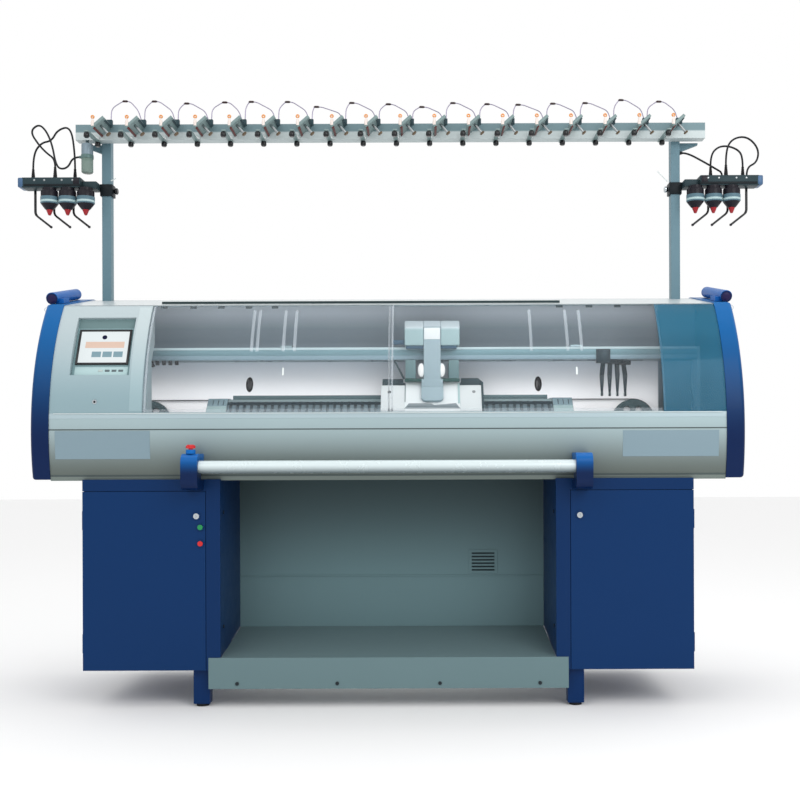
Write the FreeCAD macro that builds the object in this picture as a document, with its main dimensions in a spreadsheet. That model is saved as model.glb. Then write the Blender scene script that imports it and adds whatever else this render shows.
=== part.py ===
import FreeCAD, Part
import math
import os
from types import SimpleNamespace

import Sketcher

Vector = FreeCAD.Vector
doc = FreeCAD.newDocument("FlatKnittingMachine")

# ---------------------------------------------------------------- driving dimensions (mm, degrees)
# X runs along the needle beds, Y from the worker's side to the back, Z up from the floor.
# Depths are measured from the foremost line of the curved front cover.
DRIVING = {
    # body and its curved front
    "body_length": 2720, "cap_width": 72, "body_depth": 780, "cover_floor": 868,
    "arc_radius": 800, "arc_height": 1050, "waist_height": 1121, "arc_top": 1556,
    "top_pitch": 11.7, "rear_round": 210, "sheet_wall": 3, "cap_wall": 5, "cap_proud": 4,
    "cap_edge_round": 18, "inner_wall_depth": 470, "corner_tube_radius": 23,
    "corner_tube_run": 300, "corner_tube_inset": 14, "saddle_wide": 34, "saddle_long": 70,
    "strip_left": 915, "strip_right": 685, "strip_back": 60,
    # legs, cabinets, tray
    "cabinet_inner": 638, "cabinet_outer": 1161, "cabinet_floor": 142, "cabinet_depth": 700,
    "header_floor": 822, "door_thickness": 18, "column_width": 54, "seam": 2,
    "hinge_low": 230, "hinge_high": 700, "hinge_radius": 7, "hinge_leaf": 24, "hinge_pin": 3,
    "leg_inner": 684, "leg_width": 62, "leg_set_back": 24, "foot_deep": 75, "foot_tip": 46,
    "pad_height": 10, "pad_reach": 24, "tray_front_top": 190, "tray_back_top": 240,
    "tray_bottom": 72, "panel_depth": 430, "cross_beam": 40, "tray_screw_out": 575,
    "tray_screw_in": 195, "side_screw_low": 300, "side_screw_high": 740, "screw_head": 7,
    "side_screw_back": 60,
    # base, needle beds and their carrier
    "base_height": 80, "base_front": 110, "base_rear": 620, "base_wall": 8,
    "throat_depth": 300, "throat_gap": 8, "bed_rise": 140, "bed_length": 1316,
    "bed_plate": 22, "bed_run": 99, "slot_count": 47, "slot_pitch": 28, "slot_width": 12,
    "slot_deep": 5, "end_block": 81, "fabric_gap": 100, "guide_size": 24, "guide_offset": 130,
    "guide_stand": 102,
    # yarn rails, yarn carriers, carriage, belt
    "rail_thick": 8, "rail_pitch": 28, "rail_clear": 92, "rail_tall": 50, "rail_half": 1241,
    "left_clamp_at": 418, "right_clamp_at": 754, "clamp_long": 48, "stop_first": 939, "stop_step": 26,
    "carrier_length": 56, "carrier_cheek": 5, "carrier_fit": 0.5, "finger_thick": 4,
    "finger_pitch": 7.5, "finger_width": 9, "carrier_first": 862, "carrier_step": 33,
    "carriage_at": 171, "carriage_length": 410, "carriage_gap": 32, "carriage_rise": 61,
    "carriage_lift": 2, "bridge_arm": 68, "bridge_box": 220, "bridge_clear": 13,
    "bridge_tall": 92, "bridge_skirt": 10, "bridge_reach": 95, "bridge_leg": 35, "upright_gap": 5,
    "upright_wide": 44, "foot_bar": 13,
    "tongue_wide": 88, "tongue_thick": 12, "tongue_drop": 84, "pulley_at": 1020,
    "pulley_radius": 88, "pulley_height": 1103, "pulley_deep": 18, "belt_thick": 3,
    # sliding hoods
    "hood_wall": 3, "hood_gap": 4, "hood_left_end": 930, "hood_meet": 10, "hood_overlap": 20,
    "hood_right_end": 1050, "pull_wide": 28, "pull_tall": 60, "pull_height": 1229,
    "left_pull_at": 528, "right_pull_at": 575, "running_gap": 0.3,
    # control housing
    "housing_end": 935, "housing_deep": 200, "housing_waist": 150, "lock_out": 1116,
    "lock_up": 1164, "screen_tilt": 24.8, "screen_sink": 20, "screen_left": 1218,
    "screen_wide": 227, "screen_foot": 1268, "screen_tall": 258, "display_wide": 205,
    "display_tall": 157, "display_up": 50, "key_size": 9, "key_pitch": 26,
    # start bar and switches
    "bar_radius": 24, "bar_length": 1400, "bar_out": 80, "bar_height": 915, "bracket_width": 62,
    "bracket_foot": 829, "bracket_top": 965, "bracket_out": 115, "bracket_round": 38,
    "pivot_radius": 10, "pivot_fit": 0.05, "stop_radius": 18, "stop_base": 15,
    "button_radius": 10, "button_ring": 15, "button_at": 713, "green_height": 686,
    "red_height": 624, "lock_at": 728, "lock_height": 728, "lock_radius": 11,
    # take-down rollers
    "roller_radius": 20, "roller_drop": 190, "roller_nip": 1,
    # yarn stand
    "post_at": 1210, "post_size": 38, "post_depth": 500, "tube_wall": 3, "beam_half": 1324,
    "beam_floor": 2288, "beam_tall": 65, "beam_size": 50, "beam_depth": 431, "gusset_long": 83,
    "gusset_tall": 40, "gusset_tip": 8, "gusset_near": 4,
    "unit_count": 18, "unit_pitch": 139.9, "unit_first": 1215, "unit_wide": 65, "unit_deep": 123,
    "unit_thick": 12, "unit_tilt": 41, "unit_lift": 21, "unit_edge": 8, "eye_rise": 59,
    "disc_reach": 66, "disc_thick": 8, "disc_radius": 11, "lug_rise": 9, "lug_near": 30,
    "lug_far": 56, "knob_radius": 12, "knob_shift": 21, "knob_drop": 22,
    "wire_radius": 1.5, "wire_start": 50, "wire_end": 36, "wire_rise": 82,
    "lamp_at": 1277, "lamp_radius": 24, "lamp_tall": 125, "lamp_stem": 14, "lamp_nub": 9,
    # side feeders
    "plate_inner": 1297, "plate_outer": 1560, "plate_floor": 2084, "plate_tall": 42,
    "plate_deep": 70, "plate_depth": 440, "feeder_lead": 16, "feeder_first": 1280,
    "feeder_pitch": 76, "feeder_radius": 37, "neck_radius": 28, "neck_tall": 12, "drum_tall": 55,
    "cone_tall": 24, "tip_radius": 14, "tip_tall": 23, "rod_radius": 5.5, "rod_behind": 29,
    "rod_drop": 101, "rod_turn": 55, "rod_reach": 70, "cable_radius": 4,
    "sleeve_radius": 9, "sleeve_tall": 46, "sleeve_apart": 32,
}

sheet = doc.addObject("Spreadsheet::Sheet", "Sizes")
for row, (alias, number) in enumerate(DRIVING.items(), start=1):
    sheet.set(f"A{row}", alias)
    sheet.set(f"B{row}", str(number))
    sheet.setAlias(f"B{row}", alias)
doc.recompute()


class Size:
    """A length or angle: its value now, and the sheet formula that keeps it up to date."""

    def __init__(self, formula, value):
        self.formula = formula
        self.value = value

    def join(self, sign, other, value):
        return Size(f"({self.formula} {sign} {size(other).formula})", value)

    def __add__(self, other):
        return self.join("+", other, self.value + size(other).value)

    def __sub__(self, other):
        return self.join("-", other, self.value - size(other).value)

    def __mul__(self, other):
        return self.join("*", other, self.value * size(other).value)

    def __truediv__(self, other):
        return self.join("/", other, self.value / size(other).value)

    def __radd__(self, other):
        return size(other) + self

    def __rsub__(self, other):
        return size(other) - self

    def __rmul__(self, other):
        return size(other) * self

    def __neg__(self):
        return size(0) - self


def size(value):
    """Plain numbers join in sums with sheet sizes."""
    return value if isinstance(value, Size) else Size(str(value), float(value))


def root(value):
    return Size(f"sqrt({value.formula})", math.sqrt(value.value))


def wave(kind, angle):
    """Sine, cosine or tangent of an angle in degrees."""
    value = getattr(math, kind)(math.radians(angle.value))
    return Size(f"{kind}({angle.formula} * 1 deg)", value)


S = SimpleNamespace(**{alias: Size(f"{sheet.Name}.{alias}", getattr(sheet, alias)) for alias in DRIVING})

# ---------------------------------------------------------------- places worked out from them
front = -(S.body_depth + S.cap_proud - S.bracket_out) / 2   # Y of the foremost line of the cover
cap_inner = S.body_length / 2 - S.cap_width         # X of the inner face of each end cap
base_top = S.cover_floor + S.base_height
guide_seat = base_top + S.guide_stand
ridge_height = guide_seat + S.bed_rise
roller_height = ridge_height - S.roller_drop
carriage_top = ridge_height + S.carriage_rise
rail_bottom = carriage_top + S.rail_clear
rail_top = rail_bottom + S.rail_tall
bridge_floor = rail_top + S.bridge_clear
bridge_top = bridge_floor + S.bridge_tall
root_two = math.sqrt(2)


def deep(depth):
    """Y of a point that lies this deep behind the foremost line of the front cover."""
    return front + depth


def arc_depth(height, inset=0):
    """Depth of the curved front at a height, on the arc drawn in by the inset."""
    rise = height - S.arc_height
    radius = S.arc_radius - inset
    return S.arc_radius - root(radius * radius - rise * rise)


def top_height(depth, inset=0):
    """Height of the sloping top of the body at a depth."""
    return S.arc_top + (depth - arc_depth(S.arc_top)) * wave("tan", S.top_pitch) - inset


# ---------------------------------------------------------------- helpers
def bind(item, path, value):
    value = size(value)
    item.setExpression(path, value.formula)


def place(item, x=0, y=0, z=0):
    for axis, value in zip("xyz", (x, y, z)):
        bind(item, f"Placement.Base.{axis}", value)
    return item


def block(name, x, y, z):
    """A box from its start and end along each axis."""
    item = doc.addObject("Part::Box", name)
    for path, (start, end) in zip(("Length", "Width", "Height"), (x, y, z)):
        bind(item, path, size(end) - start)
    return place(item, x[0], y[0], z[0])


TURN_TO = {"x": FreeCAD.Rotation(Vector(0, 1, 0), 90),
           "y": FreeCAD.Rotation(Vector(1, 0, 0), -90),
           "z": FreeCAD.Rotation()}


def rod(name, axis, radius, span, across):
    """A cylinder along an axis, from span[0] to span[1], at the two other coordinates in order."""
    item = doc.addObject("Part::Cylinder", name)
    bind(item, "Radius", radius)
    bind(item, "Height", size(span[1]) - span[0])
    item.Placement = FreeCAD.Placement(Vector(), TURN_TO[axis])
    spot = list(across)
    spot.insert("xyz".index(axis), span[0])
    return place(item, *spot)


def ring(name, axis, outer, inner, span, across):
    return cut(name, rod(name + "_outer", axis, outer, span, across),
               rod(name + "_inner", axis, inner, (size(span[0]) - 1, size(span[1]) + 1), across))


def cone(name, low_radius, high_radius, span, across):
    """An upright cone between two heights, at (X, Y)."""
    item = doc.addObject("Part::Cone", name)
    height = size(span[1]) - span[0]
    for path, value in (("Radius1", low_radius), ("Radius2", high_radius), ("Height", height)):
        bind(item, path, value)
    return place(item, across[0], across[1], span[0])


def cut(name, base, *tools):
    item = doc.addObject("Part::Cut", name)
    item.Base = base
    item.Tool = tools[0] if len(tools) == 1 else fuse(name + "_tools", *tools)
    return item


def fuse(name, *pieces):
    item = doc.addObject("Part::MultiFuse", name)
    item.Shapes = list(pieces)
    return item


def overlap(name, first, second):
    item = doc.addObject("Part::Common", name)
    item.Base = first
    item.Tool = second
    return item


def group(name, *pieces):
    """Separate solids that belong to one node."""
    item = doc.addObject("Part::Compound", name)
    item.Links = list(pieces)
    return item


def own_plane(body, role):
    return next(plane for plane in body.Origin.OriginFeatures if plane.Role == role)


def new_body(name, x=0, y=0, z=0):
    return place(doc.addObject("PartDesign::Body", name), x, y, z)


def new_sketch(body, role, name, offset=0):
    sketch = body.newObject("Sketcher::SketchObject", name)
    sketch.AttachmentSupport = (own_plane(body, role), [""])
    sketch.MapMode = "FlatFace"
    bind(sketch, "AttachmentOffset.Base.z", offset)
    return sketch


def pin_point(sketch, geometry, corner, u, v, tag):
    """Holds a point of the sketch at its two sheet sizes from the sketch's origin."""
    for kind, value in (("DistanceX", u), ("DistanceY", v)):
        index = sketch.addConstraint(
            Sketcher.Constraint(kind, -1, 1, geometry, corner, size(value).value))
        label = f"{kind}_{tag}"
        sketch.renameConstraint(index, label)
        bind(sketch, f"Constraints.{label}", value)


def arc_between(start, end, radius):
    """Arc from start to end: a positive radius turns left, a negative one turns right."""
    chord = end - start
    middle = (start + end) * 0.5
    side = Vector(-chord.y, chord.x, 0).normalize()
    rise = math.sqrt(radius * radius - chord.Length ** 2 / 4)
    center = middle + side * (rise if radius > 0 else -rise)
    first, last = (start, end) if radius > 0 else (end, start)
    angles = [math.atan2(p.y - center.y, p.x - center.x) for p in (first, last)]
    if angles[1] < angles[0]:
        angles[1] += 2 * math.pi
    circle = Part.Circle(center, Vector(0, 0, 1), abs(radius))
    return Part.ArcOfCircle(circle, *angles)


def draw_outline(sketch, points, arcs=None):
    """A closed outline through points; arcs gives the radius of the side after a point."""
    arcs = arcs or {}
    spots = [Vector(size(u).value, size(v).value, 0) for u, v in points]
    sides = []
    for index, spot in enumerate(spots):
        following = spots[(index + 1) % len(spots)]
        if index in arcs:
            radius = size(arcs[index])
            side = sketch.addGeometry(arc_between(spot, following, radius.value))
            held = sketch.addConstraint(Sketcher.Constraint("Radius", side, abs(radius.value)))
            sketch.renameConstraint(held, f"Radius_{index}")
            bind(sketch, f"Constraints.Radius_{index}", radius if radius.value > 0 else -radius)
            ends = (1, 2) if radius.value > 0 else (2, 1)
        else:
            side = sketch.addGeometry(Part.LineSegment(spot, following))
            ends = (1, 2)
        sides.append((side, ends))
    for index, (side, ends) in enumerate(sides):
        following, next_ends = sides[(index + 1) % len(sides)]
        sketch.addConstraint(Sketcher.Constraint("Coincident", side, ends[1], following, next_ends[0]))
    for index, ((side, ends), (u, v)) in enumerate(zip(sides, points)):
        pin_point(sketch, side, ends[0], u, v, f"p{index}")
    return sketch


def pad(body, sketch, length, back=False):
    feature = body.newObject("PartDesign::Pad", "Pad")
    feature.Profile = sketch
    bind(feature, "Length", length)
    feature.Reversed = back
    body.Tip = feature
    return feature


def pocket(body, sketch, length, back=False):
    feature = body.newObject("PartDesign::Pocket", "Pocket")
    feature.Profile = sketch
    bind(feature, "Length", length)
    feature.Reversed = back
    body.Tip = feature
    return feature


def beam_x(name, points, span, arcs=None):
    """A body with a constant outline in (Y, Z) between two X places."""
    body = new_body(name, x=span[0])
    sketch = draw_outline(new_sketch(body, "YZ_Plane", name + "_outline"), points, arcs)
    pad(body, sketch, size(span[1]) - span[0])
    return body


def plate_y(name, points, span, arcs=None):
    """A body with a constant outline in (X, Z) between two Y places."""
    body = new_body(name, y=span[0])
    sketch = draw_outline(new_sketch(body, "XZ_Plane", name + "_outline"), points, arcs)
    pad(body, sketch, size(span[1]) - span[0], back=True)
    return body


def both_ways(side, near, far):
    """The X span between two distances from the middle, on the left (-1) or right (1) side."""
    return (-far, -near) if side < 0 else (near, far)


SIDES = (("left", -1), ("right", 1))
nodes = []


def node(item, name):
    """Marks a finished piece, whose label names its file."""
    item.Label = name
    nodes.append(item)
    return item


# ---------------------------------------------------------------- legs, frame beams, levelling pads
def leg(name, side):
    """A welded side frame: front and rear feet, an arch between them and a window above."""
    near, far = S.leg_set_back, S.cabinet_depth - S.leg_set_back
    arch = S.cabinet_floor - S.seam
    outline = [(deep(near), S.pad_height), (deep(near + S.foot_tip), S.pad_height),
               (deep(near + S.foot_deep), arch), (deep(far - S.foot_deep), arch),
               (deep(far - S.foot_tip), S.pad_height), (deep(far), S.pad_height),
               (deep(far), S.cover_floor), (deep(near), S.cover_floor)]
    span = both_ways(side, S.leg_inner, S.leg_inner + S.leg_width)
    frame = beam_x(name, outline, span)
    rim = S.foot_deep
    window = [(deep(near + rim), arch + rim), (deep(far - rim), arch + rim),
              (deep(far - rim), S.cover_floor - rim), (deep(near + rim), S.cover_floor - rim)]
    opening = draw_outline(new_sketch(frame, "YZ_Plane", name + "_window"), window)
    pocket(frame, opening, S.leg_width, back=True)
    return frame


leg_middle = S.leg_inner + S.leg_width / 2
pad_depths = (S.leg_set_back + S.foot_tip / 2, S.cabinet_depth - S.leg_set_back - S.foot_tip / 2)
pads = []
for word, side in SIDES:
    node(leg(word + "_leg", side), f"{word}_side_frame")
    for index, depth in enumerate(pad_depths):
        pads.append(rod(f"pad_{word}_{index}", "z", S.pad_reach, (0, S.pad_height),
                        (side * leg_middle, deep(depth))))
node(group("pads", *pads), "levelling_pads")


def hollow_beam(name, x, y, z, wall):
    """A rectangular tube that runs along X, open at both ends."""
    inner = block(name + "_bore", (size(x[0]) - 1, size(x[1]) + 1),
                  (y[0] + wall, y[1] - wall), (z[0] + wall, z[1] - wall))
    return cut(name, block(name + "_outer", x, y, z), inner)


throat = deep(S.throat_depth)
base_levels = (S.cover_floor, base_top)
gap_front, gap_back = throat - S.fabric_gap / 2, throat + S.fabric_gap / 2
base_ends = (-cap_inner + S.seam, cap_inner - S.seam)
base_front = hollow_beam("base_front", base_ends, (deep(S.base_front), gap_front), base_levels, S.base_wall)
base_rear = hollow_beam("base_rear", base_ends, (gap_back, deep(S.base_rear)), base_levels, S.base_wall)
base_ties = []
for word, side in SIDES:
    for index, near in enumerate((leg_middle - S.leg_width / 2, cap_inner - S.end_block)):
        base_ties.append(block(f"tie_{word}_{index}", both_ways(side, near, near + S.leg_width),
                               (gap_front, gap_back), base_levels))
cross_level = (S.cabinet_floor - S.seam - S.cross_beam, S.cabinet_floor - S.seam)
cross_beams = []
for index, start in enumerate((S.leg_set_back, S.cabinet_depth - S.leg_set_back - S.cross_beam)):
    cross_beams.append(block(f"cross_{index}", (-S.leg_inner, S.leg_inner),
                             (deep(start), deep(start + S.cross_beam)), cross_level))
node(group("frame_beams_all", fuse("bed_base", base_front, base_rear, *base_ties), *cross_beams),
     "frame_beams")


# ---------------------------------------------------------------- cabinets, doors, locks, buttons
def hinge_parts(name, side, radius, pin, gap=0):
    """The door's middle knuckle of each hinge, or with a gap the room that it turns in."""
    parts = []
    for index, low in enumerate((S.hinge_low, S.hinge_high)):
        spot = (side * S.cabinet_outer, deep(S.door_thickness + S.running_gap))
        parts.append(rod(f"{name}_{index}", "z", radius, (low - gap, low + S.hinge_leaf + gap), spot))
        if pin:
            parts.append(rod(f"{name}_pin_{index}", "z", pin,
                             (low - S.hinge_leaf, low + S.hinge_leaf * 2), spot))
    return parts


def outer_knuckles(name, side, radius, gap=0):
    """The knuckles above and below the door's own, which stay on the cabinet."""
    spot = (side * S.cabinet_outer, deep(S.door_thickness + S.running_gap))
    spans = []
    for low in (S.hinge_low, S.hinge_high):
        spans.append((low - S.hinge_leaf - gap, low - S.running_gap + gap))
        spans.append((low + S.hinge_leaf + S.running_gap - gap, low + S.hinge_leaf * 2 + gap))
    return [rod(f"{name}_{index}", "z", radius, span, spot) for index, span in enumerate(spans)]


def cabinet(name, side):
    """A sheet cabinet round the leg, open in front where its door closes it."""
    wall = S.sheet_wall
    door_edge = S.cabinet_inner + S.column_width
    door_back = S.door_thickness + S.running_gap
    case = block(name + "_case", both_ways(side, S.cabinet_inner, S.cabinet_outer),
                 (deep(0), deep(S.cabinet_depth)), (S.cabinet_floor, S.cover_floor))
    room = block(name + "_room", both_ways(side, S.cabinet_inner + wall, S.cabinet_outer - wall),
                 (deep(door_back + wall), deep(S.cabinet_depth - wall)),
                 (S.cabinet_floor + wall, S.cover_floor + 1))
    door_place = block(name + "_door_place", both_ways(side, door_edge, S.cabinet_outer + 1),
                       (deep(-1), deep(door_back)), (S.cabinet_floor - 1, S.header_floor + S.seam))
    rim = wall * 4
    mouth = block(name + "_mouth", both_ways(side, door_edge + rim, S.cabinet_outer - rim),
                  (deep(-1), deep(S.cabinet_depth / 2)),
                  (S.cabinet_floor + rim, S.header_floor - rim))
    leg_slot = block(name + "_leg_slot",
                     both_ways(side, S.leg_inner - S.running_gap,
                               S.leg_inner + S.leg_width + S.running_gap),
                     (deep(S.leg_set_back - S.running_gap),
                      deep(S.cabinet_depth - S.leg_set_back + S.running_gap)),
                     (S.cabinet_floor - 1, S.cover_floor + 1))
    turning_room = hinge_parts(name + "_turning_room", side, S.hinge_radius + S.running_gap, 0,
                               S.running_gap)
    shell = cut(name + "_shell", case, room, door_place, mouth, leg_slot, *turning_room)
    pins = hinge_parts(name + "_hinge", side, S.hinge_pin, S.hinge_pin)
    return fuse(name, shell, *outer_knuckles(name + "_knuckle", side, S.hinge_radius), *pins)


def bezel_spots(side):
    """What the door carries: the lock, and on the left door the two push buttons."""
    spots = [(side * S.lock_at, S.lock_height, S.lock_radius)]
    if side < 0:
        spots += [(side * S.button_at, S.green_height, S.button_radius),
                  (side * S.button_at, S.red_height, S.button_radius)]
    return spots


def door(name, side):
    """A folded pan with a rim at its back, and raised round bezels in front."""
    x = both_ways(side, S.cabinet_inner + S.column_width + S.seam, S.cabinet_outer)
    z = (S.cabinet_floor, S.header_floor)
    rim = S.sheet_wall * 4
    panel = block(name + "_panel", x, (deep(0), deep(S.door_thickness)), z)
    hollow = block(name + "_hollow", (x[0] + rim, x[1] - rim),
                   (deep(S.sheet_wall), deep(S.door_thickness + 1)), (z[0] + rim, z[1] - rim))
    pan = cut(name + "_pan", panel, hollow)
    bosses, bores = [], []
    for index, (at, height, radius) in enumerate(bezel_spots(side)):
        outer = radius + S.button_ring - S.button_radius
        bosses.append(rod(f"{name}_boss_{index}", "y", outer,
                          (deep(-S.sheet_wall), deep(S.door_thickness)), (at, height)))
        bores.append(rod(f"{name}_bore_{index}", "y", radius + S.pivot_fit,
                         (deep(-S.door_thickness), deep(S.door_thickness * 2)), (at, height)))
    room = outer_knuckles(name + "_knuckle_room", side, S.hinge_radius + S.running_gap, S.running_gap)
    knuckles = hinge_parts(name + "_knuckle", side, S.hinge_radius, 0)
    bores += hinge_parts(name + "_bore", side, S.hinge_pin + S.pivot_fit, S.hinge_pin + S.pivot_fit)
    return cut(name, fuse(name + "_whole", cut(name + "_clear", pan, *room), *bosses, *knuckles), *bores)


for word, side in SIDES:
    node(cabinet(word + "_case", side), f"{word}_cabinet")
    node(door(word + "_door", side), f"{word}_cabinet_door")
    spots = bezel_spots(side)
    at, height, radius = spots[0]
    face = -S.sheet_wall * 2
    key_way = block(word + "_key_way", (at - 1.5, at + 1.5), (deep(face - 1), deep(face + 4)),
                    (height - radius / 2, height + radius / 2))
    barrel = rod(word + "_barrel", "y", radius, (deep(face), deep(S.door_thickness)), (at, height))
    node(cut(word + "_lock", barrel, key_way), f"{word}_door_lock")
    for label, (at, height, radius) in zip(("power_on_button", "power_off_button"), spots[1:]):
        stem = rod(label + "_stem", "y", radius, (deep(face - 2), deep(S.door_thickness - 6)),
                   (at, height))
        node(stem, label)


# ---------------------------------------------------------------- tray, back panel
def tray():
    """A bent sheet: a sloping floor, a tall front lip and an apron before the legs."""
    wall = S.sheet_wall
    width = S.cabinet_inner - S.seam
    floor = [(deep(0), S.tray_front_top), (deep(S.panel_depth), S.tray_back_top),
             (deep(S.panel_depth), S.tray_back_top - wall), (deep(wall), S.tray_front_top - wall),
             (deep(wall), S.tray_bottom), (deep(0), S.tray_bottom)]
    apron = block("apron", (-S.leg_inner + S.running_gap, S.leg_inner - S.running_gap),
                  (deep(-wall), deep(0)), (S.tray_bottom, S.tray_front_top))
    posts = [block(f"tray_rest_{index}", (at - wall * 4, at + wall * 4),
                   (deep(wall), deep(S.leg_set_back)), (cross_level[0], cross_level[1]))
             for index, at in enumerate((-width / 2, width / 2))]
    return fuse("tray", beam_x("tray_floor", floor, (-width, width)), apron, *posts)


node(tray(), "fabric_tray")


def back_panel():
    """The panel between the cabinets, folded once, with slots for air behind a raised frame."""
    width = S.cabinet_inner - S.running_gap
    fold = S.tray_back_top + (S.cover_floor - S.tray_back_top) / 3
    sheet_wall = S.sheet_wall
    rear = S.panel_depth + sheet_wall
    outline = [(deep(S.panel_depth), S.tray_back_top), (deep(rear), S.tray_back_top),
               (deep(rear), S.cover_floor), (deep(S.panel_depth), S.cover_floor)]
    panel = beam_x("panel_sheet", outline, (-width, width))
    ledge = block("panel_ledge", (-width, width), (deep(S.panel_depth - sheet_wall), deep(S.panel_depth)),
                  (fold, fold + sheet_wall * 2))
    frame = block("vent_frame", (width / 2 + 5, width / 2 + 125),
                  (deep(S.panel_depth - sheet_wall), deep(S.panel_depth)), (fold + 12, fold + 112))
    slots = [block(f"vent_slot_{index}", (width / 2 + 17, width / 2 + 113),
                   (deep(S.panel_depth - 10), deep(rear + 10)),
                   (fold + 22 + index * 14, fold + 29 + index * 14)) for index in range(6)]
    return cut("panel", fuse("panel_whole", panel, ledge, frame), *slots)


node(back_panel(), "back_panel")

screw_row = (-S.tray_screw_out, -S.tray_screw_in, S.tray_screw_in, S.tray_screw_out)
screws = [rod(f"tray_screw_{index}", "y", S.screw_head, (deep(-S.sheet_wall * 2), deep(-S.sheet_wall)),
              (at, S.tray_bottom + 20)) for index, at in enumerate(screw_row)]
for word, side in SIDES:
    face = both_ways(side, S.cabinet_inner - S.sheet_wall, S.cabinet_inner)
    screws += [rod(f"{word}_screw_{index}", "x", S.screw_head, face, (deep(S.side_screw_back), height))
               for index, height in enumerate((S.side_screw_low, S.side_screw_high))]
node(group("screw_heads", *screws), "panel_screws")


# ---------------------------------------------------------------- outer covers and end caps
def body_profile(inset, low):
    """Side outline of the whole body: curved front, sloping top, rounded rear, flat floor."""
    brow = S.arc_top - inset
    rear = S.body_depth - inset
    radius = S.rear_round - inset
    start = S.body_depth - S.rear_round - radius * wave("sin", S.top_pitch)
    high = top_height(start, inset)
    points = [(deep(arc_depth(low, inset)), low), (deep(arc_depth(brow, inset)), brow),
              (deep(start), high), (deep(rear), high - radius * wave("cos", S.top_pitch)),
              (deep(rear), low)]
    return points, {0: -(S.arc_radius - inset), 2: -radius}


def end_cap(name, side):
    """A deep tray with the body's side outline, rounded all round its outer face."""
    points, arcs = body_profile(-S.cap_proud, S.cover_floor)
    outer_x = S.body_length / 2
    body = beam_x(name, points, both_ways(side, cap_inner, outer_x), arcs)
    points, arcs = body_profile(S.cap_wall, S.cover_floor + S.cap_wall)
    offset = 0 if side > 0 else S.cap_wall
    room = draw_outline(new_sketch(body, "YZ_Plane", name + "_room", offset), points, arcs)
    hollow = pocket(body, room, S.cap_width - S.cap_wall, back=True)
    doc.recompute()
    faces = body.Shape.Faces
    outer_face = max(range(len(faces)), key=lambda index: side * faces[index].CenterOfMass.x)
    rounding = body.newObject("PartDesign::Fillet", name + "_round")
    rounding.Base = (hollow, [f"Face{outer_face + 1}"])
    bind(rounding, "Radius", S.cap_edge_round)
    body.Tip = rounding
    return body


for word, side in SIDES:
    node(end_cap(word + "_cap", side), f"{word}_end_cap")

cover_span = (-cap_inner, cap_inner)


def arc_band(low, high, inset, wall):
    """Side outline of a curved sheet between two heights, its outer face drawn in by inset."""
    points = [(deep(arc_depth(low, inset)), low), (deep(arc_depth(high, inset)), high),
              (deep(arc_depth(high, inset + wall)), high), (deep(arc_depth(low, inset + wall)), low)]
    return points, {0: -(S.arc_radius - inset), 2: S.arc_radius - inset - wall}


def lower_cover():
    """The curved apron below the hoods, with folded edges that rest on the base and close it."""
    wall = S.sheet_wall
    low, high = S.cover_floor, S.waist_height
    shelf = S.base_front
    points = [(deep(arc_depth(low)), low), (deep(arc_depth(high)), high),
              (deep(shelf + wall), high), (deep(shelf + wall), base_top),
              (deep(shelf), base_top), (deep(shelf), high - wall),
              (deep(arc_depth(high - wall, wall)), high - wall),
              (deep(arc_depth(low + wall, wall)), low + wall),
              (deep(shelf), low + wall), (deep(shelf), low)]
    arcs = {0: -S.arc_radius, 6: S.arc_radius - wall}
    return beam_x("apron_cover", points, cover_span, arcs)


node(lower_cover(), "lower_front_cover")


def post_holes(name):
    reach = S.post_size / 2 + S.running_gap
    return [block(f"{name}_{word}", (side * S.post_at - reach, side * S.post_at + reach),
                  (deep(S.post_depth) - reach, deep(S.post_depth) + reach),
                  (S.arc_top - 50, S.arc_top + 250)) for word, side in SIDES]


top_front = arc_depth(S.arc_top)
round_start = S.body_depth - S.rear_round * (wave("sin", S.top_pitch) + 1)
top_outline = [(deep(top_front), S.arc_top), (deep(round_start), top_height(round_start)),
               (deep(round_start), top_height(round_start) - S.sheet_wall),
               (deep(top_front + S.sheet_wall), S.arc_top - S.sheet_wall)]
top_sheet = beam_x("top_sheet", top_outline, cover_span)
top_strip_at = top_front + S.strip_back
top_strip = block("top_strip", (-S.strip_left, S.strip_right), (deep(top_strip_at), deep(top_strip_at + 8)),
                  (top_height(top_strip_at) - S.sheet_wall / 2, top_height(top_strip_at) + 10))
node(fuse("top_whole", cut("top_cut", top_sheet, *post_holes("post_hole")), top_strip), "top_cover")


def rear_cover():
    wall = S.sheet_wall
    rear = S.body_depth
    high = top_height(round_start)
    low = high - S.rear_round * wave("cos", S.top_pitch)
    points = [(deep(round_start), high), (deep(rear), low), (deep(rear), S.cover_floor),
              (deep(S.base_rear), S.cover_floor), (deep(S.base_rear), S.cover_floor + wall),
              (deep(rear - wall), S.cover_floor + wall), (deep(rear - wall), low),
              (deep(round_start + wall * wave("sin", S.top_pitch)),
               high - wall * wave("cos", S.top_pitch))]
    return beam_x("rear_sheet", points, cover_span, {0: -S.rear_round, 6: S.rear_round - wall})


node(rear_cover(), "rear_cover")

node(block("inner_wall", (-cap_inner, cap_inner),
           (deep(S.inner_wall_depth), deep(S.inner_wall_depth + S.sheet_wall)),
           (base_top, top_height(S.inner_wall_depth) - S.sheet_wall * 2)), "inner_back_panel")


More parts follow.
